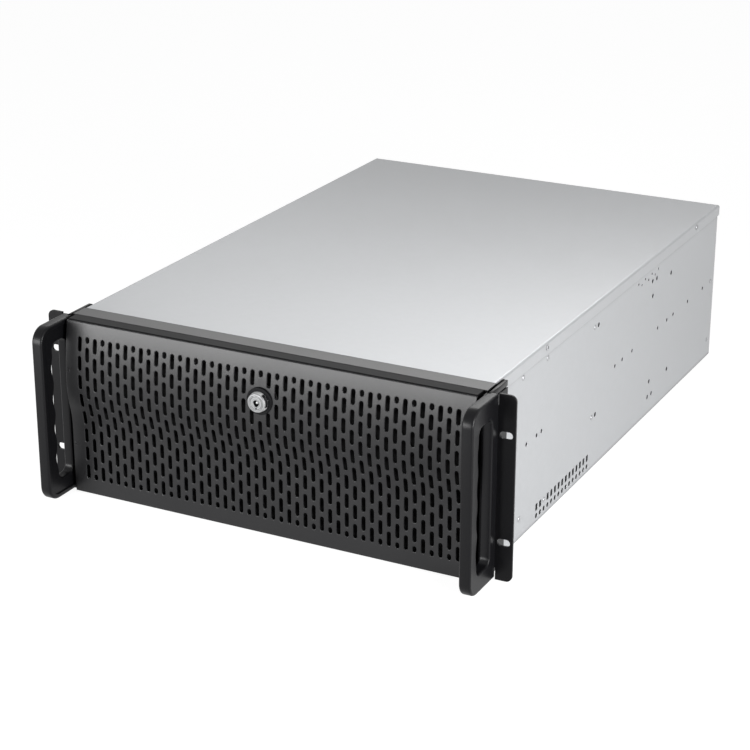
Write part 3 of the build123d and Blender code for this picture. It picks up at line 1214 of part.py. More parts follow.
# Power supply
def make_supply_case():
    """Sheet box of the power supply with its vent, inlet and switch openings at the back."""
    y0, y1 = SUPPLY_FRONT_Y, REAR_INNER_Y
    case = block(SUPPLY_LEFT_X, SUPPLY_RIGHT_X, y0, y1, SUPPLY_BOTTOM, SUPPLY_TOP)
    wall = SUPPLY_SHEET
    case -= block(
        SUPPLY_LEFT_X + wall, SUPPLY_RIGHT_X - wall, y0 + wall, y1 - wall,
        SUPPLY_BOTTOM + wall, SUPPLY_TOP - wall)
    vent = fan_vent(SUPPLY_X, SUPPLY_FAN_Z, REAR_FAN_SIZE)
    cuts = [prism_along_y(slot, y1 - wall - 1, y1 + 1) for slot in vent]
    inlet = Pos(SUPPLY_X, INLET_Z) * Rectangle(INLET_WIDTH, INLET_HEIGHT)
    switch = Pos(SUPPLY_X, SWITCH_Z) * Rectangle(SWITCH_WIDTH, SWITCH_HEIGHT)
    cuts += [prism_along_y(inlet + switch, y1 - wall - 1, y1 + 1)]
    for index in range(VENT_ROWS):
        y = y0 + SUPPLY_DEPTH * (index + 1) / (VENT_ROWS + 1) * 0.7
        middle = Pos(y, (SUPPLY_BOTTOM + SUPPLY_TOP) / 2)
        slot = middle * SlotOverall(SUPPLY_HEIGHT / 2, VENT_ROW_HEIGHT, rotation=90)
        cuts.append(prism_along_x(slot, SUPPLY_LEFT_X - 1, SUPPLY_LEFT_X + wall + 1))
    return case - cuts


def make_inlet():
    """Mains inlet: a deep recess with three pins."""
    y1 = REAR_INNER_Y
    half_x, half_z = INLET_WIDTH / 2, INLET_HEIGHT / 2
    x, z = SUPPLY_X, INLET_Z
    body = block(x - half_x, x + half_x, y1 - INLET_DEPTH, y1, z - half_z, z + half_z)
    cavity = Pos(x, z) * Rectangle(INLET_WIDTH - 2 * INLET_WALL, INLET_HEIGHT - 2 * INLET_WALL)
    cavity = chamfer(cavity.vertices().sort_by(Axis.Y)[2:], INLET_HEIGHT / 4)
    body -= prism_along_y(cavity, y1 - INLET_CAVITY, y1 + 1)
    for index, rise in ((-1, -2), (0, 2), (1, -2)):
        px, pz = x + index * INLET_PIN_PITCH, z + rise
        half_w, half_h = INLET_PIN_WIDTH / 2, INLET_PIN_HEIGHT / 2
        root, tip = y1 - INLET_CAVITY - 1, y1 - INLET_PIN_SETBACK
        body += block(px - half_w, px + half_w, root, tip, pz - half_h, pz + half_h)
    return body


def make_switch_frame():
    """Frame of the mains switch."""
    y1 = REAR_INNER_Y
    half_x, half_z = SWITCH_WIDTH / 2, SWITCH_HEIGHT / 2
    x, z = SUPPLY_X, SWITCH_Z
    frame = block(x - half_x, x + half_x, y1 - SWITCH_DEPTH, y1, z - half_z, z + half_z)
    inner_x, inner_z = half_x - SWITCH_FRAME, half_z - SWITCH_FRAME
    frame -= block(x - inner_x, x + inner_x, y1 - SWITCH_DEPTH + 1, y1 + 1, z - inner_z, z + inner_z)
    pivot_y = y1 - ROCKER_SETBACK
    return frame - rod_along_z(x, pivot_y, z - half_z + 0.5, z + half_z - 0.5, ROCKER_PIN + RUN_GAP)


def make_rocker():
    """Rocker of the mains switch, tilted to its off side, turning on two short pins."""
    y1 = REAR_INNER_Y
    x, z = SUPPLY_X, SWITCH_Z
    pivot_y = y1 - ROCKER_SETBACK
    inner_z = SWITCH_HEIGHT / 2 - SWITCH_FRAME
    reach = SWITCH_WIDTH / 2 - SWITCH_FRAME - 1.5
    rise = ROCKER_SETBACK - 0.5
    profile = Polyline(
        (x - reach, pivot_y + rise), (x, pivot_y + rise - 2), (x + reach, pivot_y + rise),
        (x + reach * 0.5, pivot_y - 3), (x - reach * 0.5, pivot_y - 3), close=True)
    plane = Plane(origin=(0, EAR_Y, z - inner_z + FIT_GAP))
    rocker = extrude(plane * make_face(profile), amount=2 * (inner_z - FIT_GAP))
    pin_half = SWITCH_HEIGHT / 2 - 0.5 - FIT_GAP
    rocker += rod_along_z(x, pivot_y, z - pin_half, z + pin_half, ROCKER_PIN)
    pivot = Pos(x, EAR_Y + pivot_y, 0)
    return pivot * Rot(0, 0, -ROCKER_TILT) * pivot.inverse() * rocker


def make_rear_screws():
    """Screws that hold power supply and fans to the back panel."""
    places = []
    inset = SUPPLY_MARGIN / 2 + 0.5
    for x in (SUPPLY_LEFT_X + inset, SUPPLY_RIGHT_X - inset):
        places += [(x, SUPPLY_BOTTOM + 12), (x, SUPPLY_TOP - 12)]
    corner = REAR_FAN_SIZE / 2 - 1.8 * FAN_CORNER
    for fan_x in REAR_FANS_X:
        places += [(fan_x + sx * corner, REAR_FAN_Z + sz * corner) for sx in (-1, 1) for sz in (-1, 1)]
    screws = []
    for x, z in places:
        head = rod_along_y(x, REAR_Y, REAR_Y + REAR_SCREW_HEAD, z, REAR_SCREW_RADIUS * 0.75)
        screws.append(fillet(head.edges().sort_by(Axis.Y)[-1:], REAR_SCREW_HEAD / 2.5))
    return group(screws)


def all_parts():
    """Every piece by the name of its file."""
    handle, ear = make_handle(), make_ear()
    parts = {
        "chassis_tub": make_tub(),
        "top_cover": make_cover(),
        "cover_screws": make_cover_screws(),
        "rear_panel": make_rear_panel(),
        "front_frame": make_front_frame(),
        "side_rivets": make_rivets(),
        "right_handle": handle,
        "left_handle": other_side(handle),
        "right_rack_ear": ear,
        "left_rack_ear": other_side(ear),
        "ear_screws": make_ear_screws(),
        "door_skin": make_door_skin(),
        "door_frame": make_door_frame(),
        "dust_filter": make_dust_filter(),
        "hinge_pins": make_hinge_pins(),
        "skin_screws": make_skin_screws(),
        "lock_ring": make_lock_ring(),
        "lock_barrel": make_lock_barrel(),
        "lock_nut": make_lock_nut(),
        "lock_plug": make_lock_plug(),
        "lock_cam": make_lock_cam(),
        "control_box": make_control_box(),
        "power_button": make_button(POWER_Z, POWER_RADIUS),
        "reset_button": make_button(RESET_Z, RESET_RADIUS),
        "status_lights": make_status_lights(),
        "front_usb_ports": make_usb_ports(),
        "fan_wall": make_fan_wall(),
        "mainboard": make_mainboard(),
        "board_standoffs": make_standoffs(),
        "memory_slots": make_memory_slots(),
        "memory_modules": make_memory_modules(),
        "slot_cover": make_slot_cover(),
        "card_retention_bar": make_retention_bar(),
        "io_shield": make_io_shield(),
        "network_jacks": make_network_jacks(),
        "usb_stacks": make_usb_stacks(),
        "supply_case": make_supply_case(),
        "mains_inlet": make_inlet(),
        "switch_frame": make_switch_frame(),
        "switch_rocker": make_rocker(),
        "rear_screws": make_rear_screws(),
        "drive_cages": group(make_drive_cage(x) for x in BAYS_X),
        "hard_drives": group(drive for x in BAYS_X for drive in make_drives(x)),
        "wall_fan_frames": group(make_fan_frame(x, *WALL_FAN) for x in WALL_FANS_X),
        "rear_fan_frames": group(make_fan_frame(x, *REAR_FAN) for x in REAR_FANS_X),
        "supply_fan_frame": make_fan_frame(SUPPLY_X, *SUPPLY_FAN),
        "supply_fan_rotor": make_fan_rotor(SUPPLY_X, *SUPPLY_FAN),
        "processor_sockets": group(make_socket(y) for y in COOLER_DEPTHS),
        "processor_coolers": group(make_cooler(y) for y in COOLER_DEPTHS),
    }
    for name, x in zip(BAY_NAMES, WALL_FANS_X):
        parts[f"wall_fan_rotor_{name}"] = make_fan_rotor(x, *WALL_FAN)
    for name, x in zip(REAR_FAN_NAMES, REAR_FANS_X):
        parts[f"rear_fan_rotor_{name}"] = make_fan_rotor(x, *REAR_FAN)
    cards = range(CARD_COUNT)
    parts["card_boards"] = group(make_card_board(card) for card in cards)
    parts["card_shrouds"] = group(make_card_shroud(card) for card in cards)
    parts["card_heatsinks"] = group(make_card_heatsink(card) for card in cards)
    parts["card_brackets"] = group(make_card_bracket(card) for card in cards)
    parts["card_sockets"] = group(make_edge_slot(card) for card in cards)
    return parts


if __name__ == "__main__":
    os.makedirs("parts", exist_ok=True)
    for name, shape in all_parts().items():
        export_step(shape, f"parts/{name}.step")
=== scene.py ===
import json
import math
import random

import bmesh
import bpy
from bpy.props import FloatProperty, FloatVectorProperty, IntProperty, PointerProperty
from mathutils import Matrix, Vector


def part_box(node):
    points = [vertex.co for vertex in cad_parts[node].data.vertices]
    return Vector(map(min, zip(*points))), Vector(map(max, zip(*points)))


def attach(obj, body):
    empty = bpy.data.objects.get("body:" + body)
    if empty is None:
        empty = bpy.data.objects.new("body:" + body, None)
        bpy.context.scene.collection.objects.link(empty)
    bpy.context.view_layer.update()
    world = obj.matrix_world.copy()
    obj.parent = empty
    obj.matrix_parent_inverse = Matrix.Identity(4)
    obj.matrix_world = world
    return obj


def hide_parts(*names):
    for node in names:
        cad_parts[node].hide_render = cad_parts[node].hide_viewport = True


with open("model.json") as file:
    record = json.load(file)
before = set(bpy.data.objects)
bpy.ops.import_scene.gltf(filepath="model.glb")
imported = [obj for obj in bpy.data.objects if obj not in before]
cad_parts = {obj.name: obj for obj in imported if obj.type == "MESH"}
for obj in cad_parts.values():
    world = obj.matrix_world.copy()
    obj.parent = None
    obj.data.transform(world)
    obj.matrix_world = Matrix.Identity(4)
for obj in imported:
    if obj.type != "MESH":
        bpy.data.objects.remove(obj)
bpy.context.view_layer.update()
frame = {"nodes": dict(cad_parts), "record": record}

bl_info = {
    "name": "Rack server with a wave door",
    "version": (1, 0, 0),
    "blender": (4, 5, 0),
    "location": "3D View > Sidebar > Server",
    "description": "Dresses a four-unit rack server and sets it on a white stage",
    "category": "Object",
}

MM = 0.001
EAR_FACE_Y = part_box("right_rack_ear")[0].y
SLOT_OF_NODE = {row["node"]: row["material_slot"] for row in frame["record"]["subparts"]}
# Points nearer than this are one point
MERGE_DISTANCE = 0.002 * MM
# Finishes and trees that are made once and used again
MADE = {}


def behind_ears(depth):
    """Y of a depth in metres measured back from the front face of the rack ears."""
    return EAR_FACE_Y + depth


# Sizes and colours that a user would change
def length(name, description, millimetres):
    """A length property that is given in millimetres and kept in metres."""
    return FloatProperty(
        name=name, description=description, default=millimetres * MM, unit="LENGTH", precision=5)


def colour(name, description, red, green, blue):
    """A colour property in linear red, green and blue."""
    return FloatVectorProperty(
        name=name, description=description, default=(red, green, blue), subtype="COLOR", size=3,
        min=0.0, max=1.0)


def share(name, description, value):
    """A property between nothing and all."""
    return FloatProperty(
        name=name, description=description, default=value, min=0.0, max=1.0, subtype="FACTOR")


def angle(name, description, degrees):
    """An angle property that is given in degrees and kept in radians."""
    return FloatProperty(
        name=name, description=description, default=math.radians(degrees), subtype="ANGLE")


def power(name, description, watts):
    """The power of a lamp."""
    return FloatProperty(name=name, description=description, default=watts, unit="POWER")


class ServerFinish(bpy.types.PropertyGroup):
    """Colours and gloss of the main finishes."""

    zinc: colour("Zinc colour", "Zinc-coated sheet of cover and case", 0.34, 0.347, 0.357)
    zinc_roughness: share("Zinc roughness", "How matt the zinc-coated sheet is", 0.36)
    paint: colour("Paint colour", "Powder coat on door and frame", 0.0085, 0.0085, 0.0092)
    paint_roughness: share("Paint roughness", "How matt the powder coat is", 0.33)
    handle: colour("Handle colour", "Coat on the cast handles", 0.0036, 0.0036, 0.0042)
    handle_roughness: share("Handle roughness", "How matt the handles are", 0.33)


class ServerDoor(bpy.types.PropertyGroup):
    """Sizes of the door's pierced front sheet."""

    columns: IntProperty(name="Columns", description="Columns of slots", default=47, min=1)
    rows: IntProperty(name="Rows", description="Slots in a full column", default=8, min=1)
    pitch_x: length("Pitch across", "Distance between columns", 8.48)
    pitch_z: length("Pitch up", "Distance between slots in a column", 18.76)
    middle_z: length("Middle height", "Height of the middle of the slots", 89.7)
    slot_width: length("Slot width", "Width of every slot", 4.0)
    slot_length: length("Slot length", "Length of a full slot", 14.2)
    short_slot: length("Short slot", "Length of the slots that end every other column", 6.0)
    thickness: length("Sheet", "Thickness of the front sheet", 1.2)
    rim: length("Rim", "Rounding of the slots' edges", 0.35)
    flat_y: length("Flat depth", "Depth of the flat lower part", -13.5)
    peak_y: length("Peak depth", "Depth of the wave's crest", -19.6)
    top_y: length("Top depth", "Depth of the upper edge", -13.55)
    wave_low: length("Wave start", "Height where the wave starts", 66.0)
    wave_high: length("Wave crest", "Height of the wave's crest", 114.0)
    lock_z: length("Lock height", "Height of the lock", 135.0)
    lock_clear: length("Lock clearance", "Radius around the lock without slots", 13.3)
    lock_hole: length("Lock hole", "Radius of the hole for the lock", 8.1)


class ServerHandle(bpy.types.PropertyGroup):
    """Sizes of the loop handles."""

    reach: length("Reach", "How far the loop stands in front of the ear", 51.6)
    inner_x: length("Inner face", "Distance of the loop's inner face from the middle", 213.2)
    thickness: length("Thickness", "Thickness of the loop", 11.3)
    bottom: length("Bottom", "Height of the loop's lower edge", 1.7)
    top: length("Top", "Height of the loop's upper edge", 176.3)
    corner: length("Corner", "Radius of the loop's front corners", 15.0)
    rounding: length("Rounding", "Rounding of the loop's edges", 2.2)
    grip_front: length("Grip front", "Depth of the opening's front edge", -39.7)
    grip_back: length("Grip back", "Depth of the opening's back edge", -11.0)
    grip_bottom: length("Grip bottom", "Height of the opening's lower edge", 19.7)
    grip_top: length("Grip top", "Height of the opening's upper edge", 157.7)
    grip_corner: length("Grip corner", "Radius of the opening's corners", 7.0)
    bump_outer: length("Outer bumps", "Rise of the finger bumps on the outer face", 1.7)
    bump_inner: length("Inner bumps", "Rise of the finger bumps on the inner face", 2.5)
    bump_lean: length("Bump lean", "How much thicker the grip is on the inner face", 4.3)
    bump_first: length("Bump height", "Height of the lowest finger bump", 26.8)
    bump_pitch: length("Bump pitch", "Distance between finger bumps", 30.2)
    recess: length("Recess", "Depth of the step on the loop's inner face", 1.4)
    rim_width: length("Rim width", "Width of the raised rim on the inner face", 4.6)


class ServerStage(bpy.types.PropertyGroup):
    """Camera and light."""

    lens: FloatProperty(
        name="Lens", description="Focal length on a 36 mm sensor", default=98.167, unit="CAMERA")
    camera_place: FloatVectorProperty(
        name="Camera place", description="Where the camera stands", default=(0.86619, -1.77215, 0.82206),
        subtype="TRANSLATION", size=3)
    azimuth: angle("Azimuth", "Direction of view round the case", 27.1074)
    elevation: angle("Elevation", "Direction of view above the floor", 21.2829)
    roll: angle("Roll", "Turn of the camera about its view", 0.0961)
    ambient: FloatProperty(name="Ambient", description="Strength of the light from all round", default=0.30)
    front: power("Front", "Power of the softbox before the door", 34.0)
    side: power("Side", "Power of the softbox on the right", 23.0)
    overhead: power("Overhead", "Power of the softbox behind and above", 0.95)


# Short ways to wire node trees
class Graph:
    """Adds and wires nodes in one node tree."""

    # Numbers of a mix node's colour sockets, because their names aren't unique
    FIRST_COLOUR = 6
    SECOND_COLOUR = 7
    MIXED_COLOUR = 2

    def __init__(self, tree):
        self.tree = tree

    def feed(self, socket, value):
        """Links a socket to another, or sets its value."""
        if isinstance(value, bpy.types.NodeSocket):
            self.tree.links.new(value, socket)
        else:
            socket.default_value = value

    def add(self, kind, inputs=None, **settings):
        """One node with its settings, and its inputs by name or number."""
        node = self.tree.nodes.new(kind)
        for key, value in settings.items():
            setattr(node, key, value)
        for key, value in (inputs or {}).items():
            self.feed(node.inputs[key], value)
        return node

    def math(self, operation, *values):
        """Result of one sum."""
        node = self.add("ShaderNodeMath", operation=operation)
        for socket, value in zip(node.inputs, values):
            self.feed(socket, value)
        return node.outputs[0]

    def noise(self, place, scale, detail=3.0, rough=0.55, stretch=None):
        """Noise between 0 and 1, finer along the axes that stretch makes larger."""
        if stretch:
            place = self.add("ShaderNodeMapping", {"Vector": place, "Scale": stretch}).outputs[0]
        node = self.add(
            "ShaderNodeTexNoise", {"Vector": place, "Scale": scale, "Detail": detail, "Roughness": rough})
        return node.outputs["Fac"]

    def spread(self, value, low, high, start=0.0, end=1.0):
        """Turns a value from start to end into one from low to high."""
        node = self.add(
            "ShaderNodeMapRange",
            {"Value": value, "From Min": start, "From Max": end, "To Min": low, "To Max": high})
        return node.outputs[0]

    def vary(self, *parts):
        """Sum of values from 0 to 1, each spread between its own low and high."""
        terms = [self.spread(value, low, high) for value, low, high in parts]
        total = terms[0]
        for term in terms[1:]:
            total = self.math("ADD", total, term)
        return total

    def blend(self, factor, first, second, blend_type="MIX"):
        """Mix of two colours."""
        node = self.add("ShaderNodeMix", {"Factor": factor}, data_type="RGBA", blend_type=blend_type)
        self.feed(node.inputs[self.FIRST_COLOUR], first)
        self.feed(node.inputs[self.SECOND_COLOUR], second)
        return node.outputs[self.MIXED_COLOUR]

    def tint(self, shade, factor):
        """A colour made darker or lighter by a factor."""
        return self.blend(1.0, (*shade, 1.0), factor, "MULTIPLY")

    def bump(self, height, strength, distance, normal=None):
        """Normal with a fine relief in it."""
        node = self.add("ShaderNodeBump", {"Height": height, "Strength": strength, "Distance": distance})
        if normal is not None:
            self.feed(node.inputs["Normal"], normal)
        return node.outputs[0]


def new_finish(name):
    """Empty finish: its material, its graph, its surface shader and the place on the object."""
    material = bpy.data.materials.new(name)
    material.use_nodes = True
    material.node_tree.nodes.clear()
    graph = Graph(material.node_tree)
    surface = graph.add("ShaderNodeBsdfPrincipled")
    graph.add("ShaderNodeOutputMaterial", {"Surface": surface.outputs[0]})
    place = graph.add("ShaderNodeTexCoord").outputs["Object"]
    return material, graph, surface, place


def soft_edges(graph, radius):
    """Normal that rounds the edges off."""
    return graph.add("ShaderNodeBevel", {"Radius": radius}, samples=4).outputs[0]


def edge_share(graph, normal):
    """How near a point is to an edge: how far the rounded normal turns away from the flat one."""
    flat = graph.add("ShaderNodeNewGeometry").outputs["Normal"]
    dot = graph.add("ShaderNodeVectorMath", {0: normal, 1: flat}, operation="DOT_PRODUCT")
    return graph.spread(dot.outputs["Value"], 0.0, 1.0, 0.98, 0.80)


def painted_seam_shade(graph, reach, darkest):
    """Painted shade: a factor that is 1 on open faces and falls where other faces stand close, as shade
    would.
    """
    open_share = graph.add("ShaderNodeAmbientOcclusion", {"Distance": reach}, samples=6).outputs["AO"]
    return graph.spread(open_share, darkest, 1.0, 0.45, 0.97)


# How far off other faces the painted seam shade reaches: on open sheet, on sheet inside the case, and on
# small metal parts
OPEN_REACH = 6.0 * MM
SHUT_REACH = 60.0 * MM
SMALL_REACH = 4.0 * MM


def sheet_reach(graph, place):
    """Reach of the painted seam shade on sheet: longer inside the case, so that painted shade stands for
    the light that the cover shuts out.
    """
    low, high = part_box("chassis_tub")
    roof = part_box("top_cover")[1].z
    half_sheet = 0.6 * MM
    axes = graph.add("ShaderNodeSeparateXYZ", {"Vector": place}).outputs
    inside = graph.math("LESS_THAN", graph.math("ABSOLUTE", axes["X"]), high.x - half_sheet)
    inside = graph.math("MULTIPLY", inside, graph.math("GREATER_THAN", axes["Z"], low.z + half_sheet))
    inside = graph.math("MULTIPLY", inside, graph.math("LESS_THAN", axes["Z"], roof - half_sheet))
    return graph.spread(inside, OPEN_REACH, SHUT_REACH)


# Finishes
def zinc_finish(name, shade, roughness, spangle=0.025, painted_inner_shade=True):
    """Zinc-coated sheet: faint crystals and rolling lines, smudges in its gloss, painted shade at seams
    and, when asked, painted shade inside the case.
    """
    material, graph, surface, place = new_finish(name)
    crystal = graph.add("ShaderNodeTexVoronoi", {"Vector": place, "Scale": 170.0, "Randomness": 1.0})
    pick = graph.add("ShaderNodeSeparateColor", {"Color": crystal.outputs["Color"]}).outputs[0]
    rolled = graph.noise(place, 1.0, 2.0, 0.6, (900.0, 9.0, 900.0))
    smudge = graph.noise(place, 7.0, 4.0)
    fine = graph.noise(place, 1500.0, 2.0)
    reach = sheet_reach(graph, place) if painted_inner_shade else OPEN_REACH
    level = graph.vary((pick, 1.0 - spangle, 1.0 + spangle), (rolled, -0.02, 0.02), (smudge, -0.02, 0.02))
    # Painted shade: darker where other faces stand close, over a longer reach inside the case
    level = graph.math("MULTIPLY", level, painted_seam_shade(graph, reach, 0.12))
    graph.feed(surface.inputs["Base Color"], graph.tint(shade, level))
    gloss = graph.vary(
        (rolled, roughness - 0.03, roughness + 0.03), (smudge, -0.03, 0.03), (pick, -0.02, 0.02))
    graph.feed(surface.inputs["Roughness"], gloss)
    normal = soft_edges(graph, 0.5 * MM)
    graph.feed(surface.inputs["Normal"], graph.bump(fine, 0.05, 0.1 * MM, normal))
    surface.inputs["Metallic"].default_value = 0.5
    return material


def coat_finish(
        name, shade, roughness, peel=0.22, grain=1300.0, metallic=0.0, edge_wear_and_highlight=1.5, specular=0.27):
    """Powder coat: orange-peel relief, fine speckle, and edges painted lighter, partly as wear and partly
    as a painted highlight.
    """
    material, graph, surface, place = new_finish(name)
    relief = graph.noise(place, grain, 2.0)
    speckle = graph.noise(place, grain * 2.1, 1.0)
    cloud = graph.noise(place, 9.0, 3.0)
    normal = soft_edges(graph, 0.7 * MM)
    level = graph.vary((speckle, 0.80, 1.20), (cloud, -0.08, 0.08))
    # Edges lighter: partly wear, partly painted highlight
    level = graph.math("ADD", level, graph.math("MULTIPLY", edge_share(graph, normal), edge_wear_and_highlight))
    graph.feed(surface.inputs["Base Color"], graph.tint(shade, level))
    gloss = graph.vary((relief, roughness - 0.07, roughness + 0.07), (cloud, -0.04, 0.04))
    graph.feed(surface.inputs["Roughness"], gloss)
    graph.feed(surface.inputs["Normal"], graph.bump(relief, peel, 0.12 * MM, normal))
    surface.inputs["Metallic"].default_value = metallic
    surface.inputs["Specular IOR Level"].default_value = specular
    return material


def moulded_finish(name, shade, roughness, grain=1800.0, relief=0.12, specular=0.3):
    """Moulded plastic: eroded texture and slight flow marks."""
    material, graph, surface, place = new_finish(name)
    texture = graph.noise(place, grain, 3.0)
    flow = graph.noise(place, 30.0, 3.0, 0.5, (1.0, 1.0, 4.0))
    graph.feed(surface.inputs["Base Color"], graph.tint(shade, graph.spread(flow, 0.88, 1.12)))
    gloss = graph.vary((texture, roughness - 0.05, roughness + 0.05), (flow, -0.03, 0.03))
    graph.feed(surface.inputs["Roughness"], gloss)
    graph.feed(surface.inputs["Normal"], graph.bump(texture, relief, 0.1 * MM))
    surface.inputs["Specular IOR Level"].default_value = specular
    return material


def bright_finish(name, shade, roughness, lines=(700.0, 700.0, 30.0), metallic=1.0, darkest=0.5):
    """Plated or bare metal with fine lines along it, faint handling marks and painted shade in recesses."""
    material, graph, surface, place = new_finish(name)
    line = graph.noise(place, 1.0, 3.0, 0.6, lines)
    mark = graph.noise(place, 60.0, 4.0)
    level = graph.vary((line, 0.92, 1.06), (mark, -0.04, 0.04))
    # Painted shade: darker in recesses and where other faces stand close
    level = graph.math("MULTIPLY", level, painted_seam_shade(graph, SMALL_REACH, darkest))
    graph.feed(surface.inputs["Base Color"], graph.tint(shade, level))
    gloss = graph.vary((line, roughness * 0.7, roughness * 1.3), (mark, -0.03, 0.05))
    graph.feed(surface.inputs["Roughness"], gloss)
    normal = soft_edges(graph, 0.3 * MM)
    graph.feed(surface.inputs["Normal"], graph.bump(line, 0.04, 0.1 * MM, normal))
    surface.inputs["Metallic"].default_value = metallic
    return material


def foam_finish(name, shade):
    """Open filter foam: pores at two sizes."""
    material, graph, surface, place = new_finish(name)
    large = graph.add("ShaderNodeTexVoronoi", {"Vector": place, "Scale": 900.0}).outputs["Distance"]
    small = graph.add("ShaderNodeTexVoronoi", {"Vector": place, "Scale": 2300.0}).outputs["Distance"]
    pores = graph.math("MULTIPLY", large, graph.spread(small, 0.6, 1.2))
    graph.feed(surface.inputs["Base Color"], graph.tint(shade, graph.spread(pores, 0.3, 1.8, 0.0, 0.5)))
    graph.feed(surface.inputs["Normal"], graph.bump(pores, 0.8, 0.6 * MM))
    graph.feed(surface.inputs["Roughness"], graph.spread(small, 0.85, 1.0))
    surface.inputs["Specular IOR Level"].default_value = 0.05
    return material


def board_finish(name, mask, trace):
    """Circuit board: solder mask over tracks and ground areas, with tinned dots."""
    material, graph, surface, place = new_finish(name)
    area = graph.add(
        "ShaderNodeTexVoronoi", {"Vector": place, "Scale": 120.0}, feature="DISTANCE_TO_EDGE",
        voronoi_dimensions="2D").outputs["Distance"]
    track = graph.add(
        "ShaderNodeTexVoronoi", {"Vector": place, "Scale": 420.0}, feature="F1", distance="MANHATTAN",
        voronoi_dimensions="2D").outputs["Distance"]
    dots = graph.add("ShaderNodeTexVoronoi", {"Vector": place, "Scale": 260.0}, voronoi_dimensions="2D")
    lines = graph.math("PINGPONG", graph.math("MULTIPLY", track, 6.0), 1.0)
    wide, apart = graph.math("GREATER_THAN", lines, 0.62), graph.math("GREATER_THAN", area, 0.04)
    copper = graph.math("MULTIPLY", wide, apart)
    dot = graph.math("LESS_THAN", dots.outputs["Distance"], 0.10)
    grain = graph.noise(place, 600.0, 3.0)
    base = graph.blend(copper, (*mask, 1.0), (*trace, 1.0))
    base = graph.blend(dot, base, (0.62, 0.58, 0.46, 1.0))
    graph.feed(surface.inputs["Base Color"], base)
    graph.feed(surface.inputs["Roughness"], graph.spread(grain, 0.28, 0.46))
    graph.feed(surface.inputs["Metallic"], graph.math("MULTIPLY", dot, 0.9))
    height = graph.math("ADD", graph.math("MULTIPLY", copper, 0.5), graph.math("MULTIPLY", grain, 0.3))
    graph.feed(surface.inputs["Normal"], graph.bump(height, 0.25, 0.1 * MM))
    return material


def pipe_finish(name, shade):
    """Milky light pipe."""
    material, graph, surface, place = new_finish(name)
    cloud = graph.noise(place, 500.0, 3.0)
    graph.feed(surface.inputs["Base Color"], graph.tint(shade, graph.spread(cloud, 0.9, 1.1)))
    graph.feed(surface.inputs["Roughness"], graph.spread(cloud, 0.12, 0.26))
    surface.inputs["Transmission Weight"].default_value = 0.35
    surface.inputs["Subsurface Weight"].default_value = 0.2
    surface.inputs["Subsurface Scale"].default_value = 2.0 * MM
    return material


def make_finishes(look):
    """Every finish by the name of its material slot."""
    zinc, paint, handle = tuple(look.zinc), tuple(look.paint), tuple(look.handle)
    return {
        "galvanised": zinc_finish("zinc_sheet", zinc, look.zinc_roughness),
        "bracket_steel": bright_finish("nickel_sheet", (0.56, 0.56, 0.55), 0.30),
        "supply_grey": coat_finish("dark_grey_coat", (0.045, 0.045, 0.048), 0.5),
        "black_paint": coat_finish("black_powder_coat", paint, look.paint_roughness),
        "black_plastic": moulded_finish("moulded_black", (0.006, 0.006, 0.0065), 0.5, specular=0.06),
        "handle_black": coat_finish(
            "handle_coat", handle, look.handle_roughness, peel=0.12, grain=1700.0, edge_wear_and_highlight=0.8,
            specular=0.14),
        "zinc": bright_finish("bright_zinc", (0.36, 0.365, 0.375), 0.34, metallic=0.7, darkest=0.25),
        "black_screw": coat_finish(
            "blackened_steel", (0.02, 0.02, 0.021), 0.36, peel=0.08, grain=2200.0, metallic=0.5,
            edge_wear_and_highlight=1.0),
        "standoff_brass": bright_finish(
            "turned_brass", (0.66, 0.46, 0.18), 0.26, lines=(60.0, 60.0, 1600.0)),
        "filter_foam": foam_finish("filter_foam", (0.0035, 0.0035, 0.0036)),
        "lock_chrome": bright_finish(
            "lock_chrome", (0.66, 0.665, 0.67), 0.28, lines=(300.0, 900.0, 300.0), metallic=0.3,
            darkest=0.6),
        "lock_face": bright_finish(
            "lock_face", (0.27, 0.273, 0.276), 0.30, lines=(900.0, 300.0, 900.0), metallic=0.5,
            darkest=0.25),
        "button_plastic": moulded_finish(
            "button_gloss", (0.02, 0.02, 0.022), 0.22, grain=900.0, relief=0.03),
        "light_pipe": pipe_finish("light_pipe", (0.78, 0.84, 0.80)),
        "port_metal": bright_finish("tinned_steel", (0.66, 0.66, 0.65), 0.26),
        "board_green": board_finish("mainboard_mask", (0.010, 0.060, 0.030), (0.018, 0.105, 0.050)),
        "card_green": board_finish("card_mask", (0.008, 0.034, 0.018), (0.014, 0.060, 0.030)),
        "socket_plastic": moulded_finish(
            "socket_plastic", (0.03, 0.03, 0.033), 0.42, grain=1500.0, relief=0.08),
        "fin_aluminium": bright_finish(
            "fin_aluminium", (0.70, 0.71, 0.72), 0.34, lines=(40.0, 500.0, 1200.0)),
        "shroud_black": moulded_finish(
            "shroud_black", (0.018, 0.018, 0.020), 0.40, grain=1600.0, relief=0.10),
        "drive_aluminium": zinc_finish(
            "drive_casting", (0.20, 0.202, 0.206), 0.46, spangle=0.02, painted_inner_shade=False),
        "fan_black": moulded_finish(
            "fan_black", (0.016, 0.016, 0.017), 0.50, grain=1500.0, relief=0.10),
        "rotor_black": moulded_finish(
            "rotor_black", (0.022, 0.022, 0.024), 0.38, grain=1500.0, relief=0.06),
    }


def finish_of(slot):
    """Material of a slot, made once."""
    if "finishes" not in MADE:
        MADE["finishes"] = make_finishes(bpy.context.scene.server_finish)
    return MADE["finishes"][slot]


# Short ways to make pieces
def close_mesh(bm, mesh, smooth_angle):
    """Merges doubles, turns the faces outwards and smooths shallow edges."""
    bmesh.ops.remove_doubles(bm, verts=bm.verts, dist=MERGE_DISTANCE)
    bmesh.ops.recalc_face_normals(bm, faces=bm.faces)
    bm.to_mesh(mesh)
    bm.free()
    mesh.shade_smooth()
    mesh.set_sharp_from_angle(angle=math.radians(smooth_angle))


